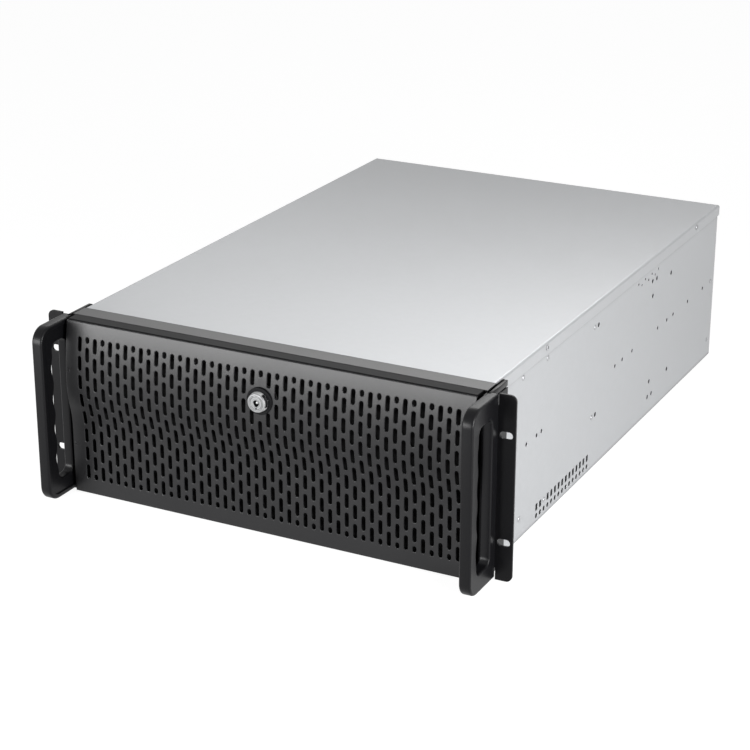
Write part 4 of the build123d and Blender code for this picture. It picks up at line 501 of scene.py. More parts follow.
def settle(obj, body, stands_for=()):
    """Gives a finished piece its body and the nodes that it stands for."""
    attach(obj, body)
    if stands_for:
        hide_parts(*stands_for)
    return obj


def pattern_object(name, bm, slots, smooth_angle=35.0):
    """An object from a mesh under construction. It isn't in the scene yet."""
    mesh = bpy.data.meshes.new(name)
    close_mesh(bm, mesh, smooth_angle)
    for slot in slots:
        mesh.materials.append(finish_of(slot))
    return bpy.data.objects.new(name, mesh)


def make_piece(name, bm, slots, body, stands_for=(), smooth_angle=35.0):
    """A piece from a mesh under construction."""
    obj = pattern_object(name, bm, slots, smooth_angle)
    bpy.context.scene.collection.objects.link(obj)
    return settle(obj, body, stands_for)


def grow_piece(name, seed, group, inputs, body, stands_for=(), smooth_angle=35.0):
    """Runs a node tree on a seed mesh and keeps the result as a plain mesh."""
    obj = bpy.data.objects.new(name, seed)
    bpy.context.scene.collection.objects.link(obj)
    modifier = obj.modifiers.new("Grow", "NODES")
    modifier.node_group = group
    for item in group.interface.items_tree:
        if item.item_type == "SOCKET" and item.in_out == "INPUT" and item.name in inputs:
            modifier[item.identifier] = inputs[item.name]
    bpy.context.view_layer.update()
    evaluated = obj.evaluated_get(bpy.context.evaluated_depsgraph_get())
    mesh = bpy.data.meshes.new_from_object(evaluated)
    obj.modifiers.remove(modifier)
    obj.data = mesh
    if not mesh.polygons:
        raise RuntimeError(f"{name} came out empty")
    bm = bmesh.new()
    bm.from_mesh(mesh)
    close_mesh(bm, mesh, smooth_angle)
    return settle(obj, body, stands_for)


def lathe(profile, steps, slot_of=None):
    """Turned shape about Z from (radius, height) points; slot_of gives a face's material by its ring."""
    bm = bmesh.new()
    rings = []
    for radius, height in profile:
        if radius < 1e-9:
            rings.append([bm.verts.new((0.0, 0.0, height))])
            continue
        ring = []
        for step in range(steps):
            turn = 2 * math.pi * step / steps
            ring.append(bm.verts.new((radius * math.cos(turn), radius * math.sin(turn), height)))
        rings.append(ring)
    for index, (low, high) in enumerate(zip(rings, rings[1:])):
        for step in range(steps):
            after = (step + 1) % steps
            corners = [low[step % len(low)], low[after % len(low)]]
            corners += [high[after % len(high)], high[step % len(high)]]
            face = bm.faces.new(list(dict.fromkeys(corners)))
            face.material_index = slot_of(index) if slot_of else 0
    return bm


def box_into(bm, low, high, rounding=0.0):
    """Adds a box between two corners, with its edges rounded off a little."""
    xs, ys, zs = zip(low, high)
    corners = [bm.verts.new((x, y, z)) for x in xs for y in ys for z in zs]
    sides = ((0, 1, 3, 2), (4, 6, 7, 5), (0, 4, 5, 1), (2, 3, 7, 6), (0, 2, 6, 4), (1, 5, 7, 3))
    faces = [bm.faces.new([corners[i] for i in side]) for side in sides]
    if rounding > 0.0:
        edges = list({edge for face in faces for edge in face.edges})
        bmesh.ops.bevel(
            bm, geom=edges, offset=rounding, segments=2, profile=0.5, affect="EDGES", clamp_overlap=True)


# Node trees that repeat things
def new_tree(name, sockets):
    """Geometry tree with named inputs. Gives the tree's graph and its input sockets."""
    tree = bpy.data.node_groups.new(name, "GeometryNodeTree")
    tree.interface.new_socket("Geometry", in_out="INPUT", socket_type="NodeSocketGeometry")
    for label, kind in sockets:
        tree.interface.new_socket(label, in_out="INPUT", socket_type=kind)
    tree.interface.new_socket("Geometry", in_out="OUTPUT", socket_type="NodeSocketGeometry")
    graph = Graph(tree)
    entry = graph.add("NodeGroupInput")
    return graph, {socket.name: socket for socket in entry.outputs if socket.name}


def end_tree(graph, geometry, material):
    """Closes a tree: instances made real, then the material."""
    real = graph.add("GeometryNodeRealizeInstances", {0: geometry}).outputs[0]
    done = graph.add("GeometryNodeSetMaterial", {"Geometry": real, "Material": material}).outputs[0]
    graph.add("NodeGroupOutput", {0: done})
    return graph.tree


def points_tree():
    """Tree that sets a shape on every point of a seed mesh, turned to the point's facing."""
    graph, given = new_tree(
        "set_on_points", [("Shape", "NodeSocketObject"), ("Material", "NodeSocketMaterial")])
    facing = graph.add("GeometryNodeInputNamedAttribute", {"Name": "facing"}, data_type="FLOAT_VECTOR")
    turn = graph.add("FunctionNodeAlignRotationToVector", {"Vector": facing.outputs[0]}, axis="Z")
    spin = graph.add("GeometryNodeInputNamedAttribute", {"Name": "spin"}, data_type="FLOAT")
    about = graph.add(
        "FunctionNodeAxisAngleToRotation", {"Axis": (0.0, 0.0, 1.0), "Angle": spin.outputs[0]})
    both = graph.add(
        "FunctionNodeRotateRotation", {"Rotation": turn.outputs[0], "Rotate By": about.outputs[0]},
        rotation_space="LOCAL")
    shape = graph.add("GeometryNodeObjectInfo", {"Object": given["Shape"]}).outputs["Geometry"]
    placed = graph.add(
        "GeometryNodeInstanceOnPoints",
        {"Points": given["Geometry"], "Instance": shape, "Rotation": both.outputs[0]})
    return end_tree(graph, placed.outputs[0], given["Material"])


def seed_points(name, points):
    """Seed mesh of (place, facing, spin) points in metres."""
    mesh = bpy.data.meshes.new(name + "_seed")
    mesh.from_pydata([place for place, facing, spin in points], [], [])
    mesh.attributes.new("facing", "FLOAT_VECTOR", "POINT")
    mesh.attributes.new("spin", "FLOAT", "POINT")
    for index, (place, facing, spin) in enumerate(points):
        mesh.attributes["facing"].data[index].vector = facing
        mesh.attributes["spin"].data[index].value = spin
    return mesh


def set_out(name, points, shape, slot, body, stands_for=()):
    """A piece that repeats one shape, a mesh under construction, on points."""
    if "points_tree" not in MADE:
        MADE["points_tree"] = points_tree()
    pattern = pattern_object(name + "_shape", shape, [slot])
    inputs = {"Shape": pattern, "Material": finish_of(slot)}
    grow_piece(name, seed_points(name, points), MADE["points_tree"], inputs, body, stands_for)
    bpy.data.objects.remove(pattern)


# The door's pierced front
def rectangle_ring(width, height, side_steps, end_steps):
    """Points round a rectangle, from its lower right corner up the right side and on."""
    ring = []
    for step in range(side_steps):
        ring.append((width / 2, height * (step / side_steps - 0.5)))
    for step in range(end_steps):
        ring.append((width * (0.5 - step / end_steps), height / 2))
    for step in range(side_steps):
        ring.append((-width / 2, height * (0.5 - step / side_steps)))
    for step in range(end_steps):
        ring.append((width * (step / end_steps - 0.5), -height / 2))
    return ring


def slot_ring(radius, straight, side_steps, end_steps, out):
    """Points round a slot, in step with rectangle_ring; out widens it."""
    reach = radius + out
    cap_steps = 2 * end_steps
    lead = end_steps // 2
    ring = []
    for step in range(-lead, 0):
        turn = math.pi * step / cap_steps
        ring.append((reach * math.cos(turn), -straight / 2 + reach * math.sin(turn)))
    straight_steps = side_steps - 2 * lead
    for step in range(straight_steps):
        ring.append((reach, straight * (step / straight_steps - 0.5)))
    for step in range(cap_steps):
        turn = math.pi * step / cap_steps
        ring.append((reach * math.cos(turn), straight / 2 + reach * math.sin(turn)))
    for step in range(straight_steps):
        ring.append((-reach, straight * (0.5 - step / straight_steps)))
    for step in range(cap_steps - lead):
        turn = math.pi * (1 + step / cap_steps)
        ring.append((reach * math.cos(turn), -straight / 2 + reach * math.sin(turn)))
    return ring


def slot_cell(door, height, length_of_slot, side_steps, end_steps):
    """One cell of the sheet with its slot, both faces and the slot's rounded edge."""
    radius = door.slot_width / 2
    straight = length_of_slot - door.slot_width
    edge = rectangle_ring(door.pitch_x, height, side_steps, end_steps)
    wide = slot_ring(radius, straight, side_steps, end_steps, door.rim)
    tight = slot_ring(radius, straight, side_steps, end_steps, 0.0)
    layers = [(edge, 0.0), (wide, 0.0), (tight, door.rim), (tight, door.thickness), (edge, door.thickness)]
    bm = bmesh.new()
    rings = [[bm.verts.new((x, depth, z)) for x, z in ring] for ring, depth in layers]
    count = len(edge)
    for outer, inner in zip(rings, rings[1:]):
        for step in range(count):
            after = (step + 1) % count
            bm.faces.new((outer[step], outer[after], inner[after], inner[step]))
    return bm


def plain_cell(door, height, side_steps, end_steps):
    """One cell of the sheet without a slot."""
    edge = rectangle_ring(door.pitch_x, height, side_steps, end_steps)
    bm = bmesh.new()
    for depth in (0.0, door.thickness):
        ring = [bm.verts.new((x, depth, z)) for x, z in edge]
        middle = bm.verts.new((0.0, depth, 0.0))
        for step in range(len(ring)):
            bm.faces.new((ring[step], ring[(step + 1) % len(ring)], middle))
    return bm


def cell_lines(middle, count, pitch, steps):
    """Coordinates of the cell corners and of the points between them."""
    total = count * steps
    return [middle + pitch * (step / steps - count / 2) for step in range(total + 1)]


def border_sheet(door, half_width, low_z, high_z, side_steps, end_steps):
    """The sheet round the slots, with its outer edge rounded."""
    across = cell_lines(0.0, door.columns, door.pitch_x, end_steps)
    up = cell_lines(door.middle_z, door.rows, door.pitch_z, side_steps)
    soft = door.rim
    xs = [-half_width, -half_width + soft] + across + [half_width - soft, half_width]
    upper = [up[-1] + (high_z - soft - up[-1]) * part / 3 for part in (1, 2)]
    zs = [low_z, low_z + soft] + up + upper + [high_z - soft, high_z]
    bm = bmesh.new()
    grids = []
    for depth, edge_depth in ((0.0, soft), (door.thickness, door.thickness)):
        grid = {}
        for i, x in enumerate(xs):
            for j, z in enumerate(zs):
                at_edge = i in (0, len(xs) - 1) or j in (0, len(zs) - 1)
                grid[i, j] = bm.verts.new((x, edge_depth if at_edge else depth, z))
        grids.append(grid)
    first_x, last_x = 2, 2 + len(across) - 1
    first_z, last_z = 2, 2 + len(up) - 1
    for grid in grids:
        for i in range(len(xs) - 1):
            for j in range(len(zs) - 1):
                if first_x <= i < last_x and first_z <= j < last_z:
                    continue
                bm.faces.new((grid[i, j], grid[i + 1, j], grid[i + 1, j + 1], grid[i, j + 1]))
    front, back = grids
    edge = [(i, 0) for i in range(len(xs) - 1)]
    edge += [(len(xs) - 1, j) for j in range(len(zs) - 1)]
    edge += [(i, len(zs) - 1) for i in range(len(xs) - 1, 0, -1)]
    edge += [(0, j) for j in range(len(zs) - 1, 0, -1)]
    for here, there in zip(edge, edge[1:] + edge[:1]):
        bm.faces.new((front[here], front[there], back[there], back[here]))
    bmesh.ops.delete(bm, geom=[v for v in bm.verts if not v.link_faces], context="VERTS")
    return bm


def wave_depth(graph, given, height):
    """Depth of the door's front at a height: flat, two arcs up to the crest, a long bow to the top."""
    low, high = given["Wave start"], given["Wave crest"]
    flat, peak = given["Flat depth"], given["Peak depth"]
    half = graph.math("MULTIPLY", graph.math("SUBTRACT", high, low), 0.5)
    drop = graph.math("MULTIPLY", graph.math("SUBTRACT", flat, peak), 0.5)
    turn = arc_radius(graph, half, drop)
    first = graph.math("SUBTRACT", flat, arc_fall(graph, turn, graph.math("SUBTRACT", height, low)))
    second = graph.math("ADD", peak, arc_fall(graph, turn, graph.math("SUBTRACT", high, height)))
    rise = graph.math("SUBTRACT", given["Top"], high)
    back = graph.math("SUBTRACT", given["Top depth"], peak)
    bow = arc_radius(graph, rise, back)
    third = graph.math("ADD", peak, arc_fall(graph, bow, graph.math("SUBTRACT", height, high)))
    middle = graph.math("ADD", low, half)
    depth = choose(graph, height, low, flat, first)
    depth = choose(graph, height, middle, depth, second)
    return choose(graph, height, high, depth, third)


def arc_radius(graph, run, fall):
    """Radius of an arc that falls by fall over run."""
    squares = graph.math("ADD", graph.math("MULTIPLY", run, run), graph.math("MULTIPLY", fall, fall))
    return graph.math("DIVIDE", squares, graph.math("MULTIPLY", fall, 2.0))


def arc_fall(graph, radius, run):
    """How far an arc has fallen after a run from its level point."""
    run_square = graph.math("MULTIPLY", run, run)
    squares = graph.math("SUBTRACT", graph.math("MULTIPLY", radius, radius), run_square)
    return graph.math("SUBTRACT", radius, graph.math("SQRT", graph.math("MAXIMUM", squares, 0.0)))


def choose(graph, height, limit, below, above):
    """One value up to a height and another above it."""
    test = graph.math("GREATER_THAN", height, limit)
    node = graph.add(
        "GeometryNodeSwitch", {"Switch": test, "False": below, "True": above}, input_type="FLOAT")
    return node.outputs[0]


def staggered_points(graph, given):
    """Points of the full slots: every other column is moved up by half a pitch and is one short."""
    count = graph.math("MULTIPLY", given["Columns"], given["Rows"])
    index = graph.add("GeometryNodeInputIndex").outputs[0]
    column = graph.math("MODULO", index, given["Columns"])
    row = graph.math("FLOOR", graph.math("DIVIDE", index, given["Columns"]))
    odd = graph.math("MODULO", column, 2.0)
    x = graph.math("MULTIPLY", centred(graph, column, given["Columns"]), given["Pitch across"])
    steps = graph.math("ADD", centred(graph, row, given["Rows"]), graph.math("MULTIPLY", odd, 0.5))
    z = graph.math("MULTIPLY_ADD", steps, given["Pitch up"], given["Middle height"])
    place = graph.add("ShaderNodeCombineXYZ", {"X": x, "Z": z}).outputs[0]
    points = graph.add("GeometryNodePoints", {"Count": count, "Position": place}).outputs[0]
    last = graph.math("GREATER_THAN", row, graph.math("SUBTRACT", given["Rows"], 1.5))
    extra = graph.math("MULTIPLY", last, odd)
    kept = graph.add("GeometryNodeDeleteGeometry", {"Geometry": points, "Selection": extra}, domain="POINT")
    return kept.outputs[0]


def centred(graph, number, count):
    """A counting number moved so that the counts are even about nought."""
    return graph.math("SUBTRACT", number, graph.math("MULTIPLY", graph.math("SUBTRACT", count, 1.0), 0.5))


def end_points(graph, given):
    """Points of the short slots at both ends of every other column."""
    pairs = graph.math("FLOOR", graph.math("DIVIDE", given["Columns"], 2.0))
    count = graph.math("MULTIPLY", pairs, 2.0)
    index = graph.add("GeometryNodeInputIndex").outputs[0]
    column = graph.math("MODULO", index, pairs)
    upper = graph.math("GREATER_THAN", index, graph.math("SUBTRACT", pairs, 0.5))
    double = graph.math("MULTIPLY", centred(graph, column, pairs), 2.0)
    x = graph.math("MULTIPLY", double, given["Pitch across"])
    reach = graph.math("SUBTRACT", graph.math("MULTIPLY", given["Rows"], 0.5), 0.25)
    side = graph.math("SUBTRACT", graph.math("MULTIPLY", upper, 2.0), 1.0)
    steps = graph.math("MULTIPLY", reach, side)
    z = graph.math("MULTIPLY_ADD", steps, given["Pitch up"], given["Middle height"])
    place = graph.add("ShaderNodeCombineXYZ", {"X": x, "Z": z}).outputs[0]
    return graph.add("GeometryNodePoints", {"Count": count, "Position": place}).outputs[0]


def near_lock(graph, given):
    """True on points whose full slot would run into the lock's ring."""
    place = graph.add("ShaderNodeSeparateXYZ", {0: graph.add("GeometryNodeInputPosition").outputs[0]})
    rise = graph.math("ABSOLUTE", graph.math("SUBTRACT", place.outputs[2], given["Lock height"]))
    straight = graph.math("SUBTRACT", given["Slot length"], given["Slot width"])
    beside = graph.math("MAXIMUM", graph.math("SUBTRACT", rise, graph.math("MULTIPLY", straight, 0.5)), 0.0)
    across = place.outputs[0]
    squares = graph.math(
        "ADD", graph.math("MULTIPLY", across, across), graph.math("MULTIPLY", beside, beside))
    return graph.math("LESS_THAN", graph.math("SQRT", squares), given["Lock clearance"])


def placed_cells(graph, points, shape, selection=None):
    """Instances of a cell on points."""
    cell = graph.add("GeometryNodeObjectInfo", {"Object": shape}).outputs["Geometry"]
    node = graph.add("GeometryNodeInstanceOnPoints", {"Points": points, "Instance": cell})
    if selection is not None:
        graph.feed(node.inputs["Selection"], selection)
    return node.outputs[0]


GRILLE_SHAPES = ("Slot cell", "Plain cell", "End cell", "Border")
GRILLE_COUNTS = ("Columns", "Rows")
GRILLE_SIZES = (
    "Pitch across", "Pitch up", "Middle height", "Slot length", "Slot width",
    "Flat depth", "Peak depth", "Top depth", "Wave start", "Wave crest", "Top",
    "Lock height", "Lock clearance", "Lock hole", "Ear face")
GRILLE_INPUTS = (
    [(name, "NodeSocketObject") for name in GRILLE_SHAPES]
    + [(name, "NodeSocketInt") for name in GRILLE_COUNTS]
    + [(name, "NodeSocketFloat") for name in GRILLE_SIZES]
    + [("Material", "NodeSocketMaterial")])
# Points of neighbouring cells that are one point, and the drill for the lock's hole
CELL_MERGE = 0.02 * MM
DRILL_LENGTH = 100.0 * MM
DRILL_SIDES = 48


def grille_tree():
    """Tree of the door's front: staggered cells in a border, bent into the wave, with the lock's hole."""
    graph, given = new_tree("wave_grille", GRILLE_INPUTS)
    points = staggered_points(graph, given)
    taken = near_lock(graph, given)
    free = graph.math("SUBTRACT", 1.0, taken)
    join = graph.add("GeometryNodeJoinGeometry")
    border = graph.add("GeometryNodeObjectInfo", {"Object": given["Border"]}).outputs["Geometry"]
    parts = (
        placed_cells(graph, points, given["Slot cell"], free),
        placed_cells(graph, points, given["Plain cell"], taken),
        placed_cells(graph, end_points(graph, given), given["End cell"]),
        border)
    for part in parts:
        graph.feed(join.inputs[0], part)
    real = graph.add("GeometryNodeRealizeInstances", {0: join.outputs[0]}).outputs[0]
    whole = graph.add("GeometryNodeMergeByDistance", {"Geometry": real, "Distance": CELL_MERGE}).outputs[0]
    place = graph.add("ShaderNodeSeparateXYZ", {0: graph.add("GeometryNodeInputPosition").outputs[0]})
    depth = graph.math("ADD", wave_depth(graph, given, place.outputs[2]), given["Ear face"])
    shift = graph.add("ShaderNodeCombineXYZ", {"Y": depth}).outputs[0]
    bent = graph.add("GeometryNodeSetPosition", {"Geometry": whole, "Offset": shift}).outputs[0]
    drill = graph.add(
        "GeometryNodeMeshCylinder",
        {"Vertices": DRILL_SIDES, "Radius": given["Lock hole"], "Depth": DRILL_LENGTH})
    centre = graph.add("ShaderNodeCombineXYZ", {"Y": given["Ear face"], "Z": given["Lock height"]})
    forwards = (math.pi / 2, 0.0, 0.0)
    drill = graph.add(
        "GeometryNodeTransform",
        {"Geometry": drill.outputs[0], "Translation": centre.outputs[0], "Rotation": forwards})
    cut = graph.add("GeometryNodeMeshBoolean", operation="DIFFERENCE", solver="EXACT")
    graph.feed(cut.inputs["Mesh 1"], bent)
    graph.feed(cut.inputs["Mesh 2"], drill.outputs[0])
    return end_tree(graph, cut.outputs[0], given["Material"])


# The foam strip under the dust filter: how far its ends and its foot stay inside the filter and the sheet
SKIRT_END_GAP = 14.0 * MM
SKIRT_FOOT_GAP = 2.3 * MM


def make_filter_skirt(sheet_foot):
    """Strip of foam between the dust filter and the foot of the sheet, behind the lowest slots."""
    low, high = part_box("dust_filter")
    end = high.x - SKIRT_END_GAP
    bm = bmesh.new()
    box_into(bm, (-end, low.y, sheet_foot + SKIRT_FOOT_GAP), (end, high.y, low.z), 0.3 * MM)
    make_piece("filter_skirt", bm, ["filter_foam"], "door")


class SERVER_OT_door_front(bpy.types.Operator):
    """Make the door's pierced wave sheet and the foam strip behind its foot."""

    bl_idname = "server.door_front"
    bl_label = "Door front"

    def execute(self, context):
        door = context.scene.server_door
        low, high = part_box("door_skin")
        side_steps, end_steps = 8, 4
        short_steps = (side_steps // 2, end_steps // 2)
        shapes = {
            "Slot cell": slot_cell(door, door.pitch_z, door.slot_length, side_steps, end_steps),
            "Plain cell": plain_cell(door, door.pitch_z, side_steps, end_steps),
            "End cell": slot_cell(door, door.pitch_z / 2, door.short_slot, *short_steps),
            "Border": border_sheet(door, high.x, low.z, high.z, side_steps, end_steps),
        }
        patterns = {name: pattern_object(name, shape, ["black_paint"]) for name, shape in shapes.items()}
        inputs = {
            **patterns, "Columns": door.columns, "Rows": door.rows,
            "Pitch across": door.pitch_x, "Pitch up": door.pitch_z, "Middle height": door.middle_z,
            "Slot length": door.slot_length, "Slot width": door.slot_width,
            "Flat depth": door.flat_y, "Peak depth": door.peak_y, "Top depth": door.top_y,
            "Wave start": door.wave_low, "Wave crest": door.wave_high, "Top": high.z,
            "Lock height": door.lock_z, "Lock clearance": door.lock_clear, "Lock hole": door.lock_hole,
            "Ear face": EAR_FACE_Y, "Material": finish_of("black_paint")}
        seed = bpy.data.meshes.new("door_front_seed")
        grow_piece(
            "door_front", seed, grille_tree(), inputs, "door", ["door_skin"],
            smooth_angle=30.0)
        for pattern in patterns.values():
            bpy.data.objects.remove(pattern)
        make_filter_skirt(low.z)
        return {"FINISHED"}


# Handles
def arc_points(y, z, radius, start, end, steps):
    """Points of an arc in depth and height; angles in degrees from straight back, upwards."""
    points = []
    for step in range(steps + 1):
        turn = math.radians(start + (end - start) * step / steps)
        points.append((y + radius * math.cos(turn), z + radius * math.sin(turn)))
    return points


def loop_outline(handle, inset):
    """Outer outline of the loop, moved inwards; its back edge moves only past the rounding."""
    back = -max(inset - handle.rounding, 0.0)
    radius = handle.corner - inset
    front_y = handle.corner - handle.reach
    low, high = handle.bottom + handle.corner, handle.top - handle.corner
    points = [(back, handle.bottom + inset)]
    points += arc_points(front_y, low, radius, -90, -180, 10)
    points += arc_points(front_y, high, radius, 180, 90, 10)
    points.append((back, handle.top - inset))
    return points


def grip_depth(handle, z, inward):
    """Depth of the opening's front edge at a height; inward is 0 on the outer face and 1 on the inner."""
    count = (z - handle.bump_first) / handle.bump_pitch
    wave = 0.5 * (1.0 + math.cos(2 * math.pi * count))
    rise = handle.bump_outer + (handle.bump_inner - handle.bump_outer) * inward
    return handle.grip_front + handle.bump_lean * inward + rise * wave


def grip_outline(handle, outset, inward):
    """Outline of the opening, moved outwards, with the finger bumps on its front edge."""
    corner = handle.grip_corner
    radius = corner + outset
    back = handle.grip_back - corner
    low, high = handle.grip_bottom + corner, handle.grip_top - corner
    points = arc_points(back, low, radius, 0, -90, 7)
    points += arc_points(grip_depth(handle, low, inward) + corner, low, radius, -90, -180, 7)
    steps = 90
    for step in range(1, steps):
        z = low + (high - low) * step / steps
        points.append((grip_depth(handle, z, inward) - outset, z))
    points += arc_points(grip_depth(handle, high, inward) + corner, high, radius, 180, 90, 7)
    points += arc_points(back, high, radius, 90, 0, 7)
    return points


def quarter_steps(radius, steps):
    """Inset and drop of the points of a rounded edge, from the face round to the side."""
    turns = [math.pi / 2 * step / steps for step in range(steps + 1)]
    return [(radius * (1 - math.sin(turn)), radius * (1 - math.cos(turn))) for turn in turns]


def wall_of_rings(bm, rings):
    """Faces between outlines that follow each other."""
    made = [[bm.verts.new(point) for point in ring] for ring in rings]
    count = len(made[0])
    for first, second in zip(made, made[1:]):
        for step in range(count):
            after = (step + 1) % count
            bm.faces.new((first[step], first[after], second[after], second[step]))
    return made


def fill_between(bm, outer, inner):
    """Flat face between two outlines."""
    edges = []
    for ring in (outer, inner):
        for here, there in zip(ring, ring[1:] + ring[:1]):
            edges.append(bm.edges.get((here, there)) or bm.edges.new((here, there)))
    bmesh.ops.triangle_fill(bm, use_beauty=True, use_dissolve=False, edges=edges)


def handle_loop(bm, handle, side):
    """The loop: rounded edges, finger bumps and a step on the inner face."""
    inner, outer = handle.inner_x, handle.inner_x + handle.thickness
    pocket = inner + handle.recess
    support = 0.4 * MM
    soft = quarter_steps(handle.rounding, 5)
    grip_round = 0.7 * handle.rounding
    grip_soft = quarter_steps(grip_round, 4)

    def ring(outline, x):
        """Points of an outline at a distance from the middle of the case."""
        return [(side * x, behind_ears(y), z) for y, z in outline]

    rings = [ring(loop_outline(handle, handle.rounding + support), outer)]
    rings += [ring(loop_outline(handle, inset), outer - drop) for inset, drop in soft]
    rings += [ring(loop_outline(handle, inset), inner + drop) for inset, drop in reversed(soft)]
    rings.append(ring(loop_outline(handle, handle.rim_width), inner))
    rings.append(ring(loop_outline(handle, handle.rim_width + support), pocket))
    rings.append(ring(loop_outline(handle, handle.rim_width + 2 * support), pocket))
    loop = wall_of_rings(bm, rings)
    rings = [ring(grip_outline(handle, grip_round + support, 0.0), outer)]
    rings += [ring(grip_outline(handle, inset, 0.0), outer - drop) for inset, drop in grip_soft]
    rings += [ring(grip_outline(handle, inset, 1.0), pocket + drop) for inset, drop in reversed(grip_soft)]
    rings.append(ring(grip_outline(handle, grip_round + support, 1.0), pocket))
    grip = wall_of_rings(bm, rings)
    fill_between(bm, loop[0], grip[0])
    fill_between(bm, loop[-1], grip[-1])


# The handle's tongue: clearance to the cover, where tongue and lip start, and the lip's section
TONGUE_GAP = 0.3 * MM
TONGUE_START = -8.5 * MM
LIP_START = -3.0 * MM
LIP_WIDTH = 4.5 * MM
LIP_HEIGHT = 5.3 * MM


def handle_tongue(bm, side, node):
    """The tongue that runs back along the case, and the lip over it."""
    low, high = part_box(node)
    wall_x = min(abs(low.x), abs(high.x))
    cover_low, cover_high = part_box("top_cover")
    cover_x = cover_high.x + TONGUE_GAP
    ear_x = min(abs(corner.x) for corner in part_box("right_rack_ear"))
    skirt = cover_low.z - TONGUE_GAP
    start, lip_start, end = behind_ears(TONGUE_START), behind_ears(LIP_START), high.y
    spans = (
        (cover_x, ear_x, start, low.z, high.z),
        (wall_x, ear_x, start, low.z, skirt),
        (cover_x, cover_x + LIP_WIDTH, lip_start, high.z - LIP_HEIGHT, high.z),
    )
    for x0, x1, y0, z0, z1 in spans:
        near, far = sorted((side * x0, side * x1))
        box_into(bm, (near, y0, z0), (far, end, z1), 0.5 * MM)


class SERVER_OT_handles(bpy.types.Operator):
    """Make both loop handles."""

    bl_idname = "server.handles"
    bl_label = "Handles"

    def execute(self, context):
        handle = context.scene.server_handle
        for side, word in ((1, "right"), (-1, "left")):
            node = word + "_handle"
            bm = bmesh.new()
            handle_loop(bm, handle, side)
            handle_tongue(bm, side, node)
            make_piece(word + "_loop_handle", bm, ["handle_black"], "case", [node])
        return {"FINISHED"}


# Lock
def turned_on_y(bm, front, height):
    """Moves a shape turned about Z so that its axis runs back from the lock's front face."""
    turn = Matrix.Rotation(math.radians(-90), 4, "X")
    bmesh.ops.transform(bm, matrix=Matrix.Translation((0.0, front, height)) @ turn, verts=bm.verts)


def cut_away(obj, cutters):
    """Cuts shapes out of a piece, with their own finish on the cut faces."""
    for cutter in cutters:
        bpy.context.scene.collection.objects.link(cutter)
        modifier = obj.modifiers.new("Cut", "BOOLEAN")
        modifier.operation = "DIFFERENCE"
        modifier.solver = "EXACT"
        modifier.material_mode = "TRANSFER"
        modifier.object = cutter
    bpy.context.view_layer.update()
    mesh = bpy.data.meshes.new_from_object(obj.evaluated_get(bpy.context.evaluated_depsgraph_get()))
    obj.modifiers.clear()
    obj.data = mesh
    for cutter in cutters:
        bpy.data.objects.remove(cutter)
    mesh.shade_smooth()
    mesh.set_sharp_from_angle(angle=math.radians(30.0))


def sector(inner, outer, start, end, near, far, steps=14):
    """Part of a ring about Z between two angles in degrees and two heights."""
    bm = bmesh.new()
    rows = []
    for step in range(steps + 1):
        turn = math.radians(start + (end - start) * step / steps)
        rows.append([
            bm.verts.new((radius * math.cos(turn), radius * math.sin(turn), height))
            for radius, height in ((inner, near), (outer, near), (outer, far), (inner, far))])
    for first, second in zip(rows, rows[1:]):
        for corner in range(4):
            after = (corner + 1) % 4
            bm.faces.new((first[corner], first[after], second[after], second[corner]))
    bm.faces.new(rows[0])
    bm.faces.new(rows[-1])
    return bm


def profile_mm(points):
    """A profile of (radius, height) points given in millimetres."""
    return [(radius * MM, height * MM) for radius, height in points]


def lock_body_profile(depth):
    """Fixed part of the lock: grooved face, stepped head and threaded body with its bore."""
    points = [(6.05, depth), (6.05, 0.35), (6.3, 0.0), (6.9, 0.0), (7.05, 0.3), (7.3, 0.3), (7.45, 0.0)]
    points += [(8.3, 0.05), (8.85, 0.45), (9.05, 1.0), (9.55, 5.2), (9.4, 5.4), (8.0, 5.4)]
    start, pitch = 10.0, 1.2
    turns = int((depth - 1.0 - start) / pitch)
    points.append((8.0, start))
    for turn in range(turns):
        points += [(7.65, start + pitch * (turn + 0.5)), (8.0, start + pitch * (turn + 1))]
    points += [(8.0, depth), (6.05, depth)]
    return profile_mm(points)


def lock_plug_profile(depth, total):
    """Turning core: centre pin, ring-shaped keyway, rim, and the stub for the cam."""
    points = [(0.0, 1.8), (0.9, 1.8), (1.25, 2.2), (1.25, 6.0), (2.9, 6.0), (2.9, 0.4), (3.1, 0.12)]
    points += [(3.9, 0.12), (4.0, 0.3), (4.15, 0.3), (4.25, 0.12), (5.6, 0.12)]
    points += [(5.95, 0.4), (5.95, depth), (3.5, depth), (3.5, total), (0.0, total)]
    return profile_mm(points)


# Finishes of the lock's pieces, and the rings of its profiles that have each
HEAD_SLOTS = ["lock_chrome", "lock_face"]
HEAD_FACE_RINGS = 9
CORE_SLOTS = ["lock_chrome", "lock_face", "black_screw"]
CORE_PIN_RINGS = 3
# The keyway's rings take the blackened finish: painted shade in the deep hole
CORE_KEYWAY_RINGS = 5


def head_slot(ring):
    """The head's face has its own finish, its sides and thread are chrome."""
    return HEAD_SLOTS.index("lock_face" if ring < HEAD_FACE_RINGS else "lock_chrome")


def core_slot(ring):
    """The core has a chrome pin in the middle, a keyway round it in the blackened finish as painted shade
    of the deep hole, then its face.
    """
    if ring < CORE_PIN_RINGS:
        return CORE_SLOTS.index("lock_chrome")
    return CORE_SLOTS.index("black_screw" if ring < CORE_KEYWAY_RINGS else "lock_face")


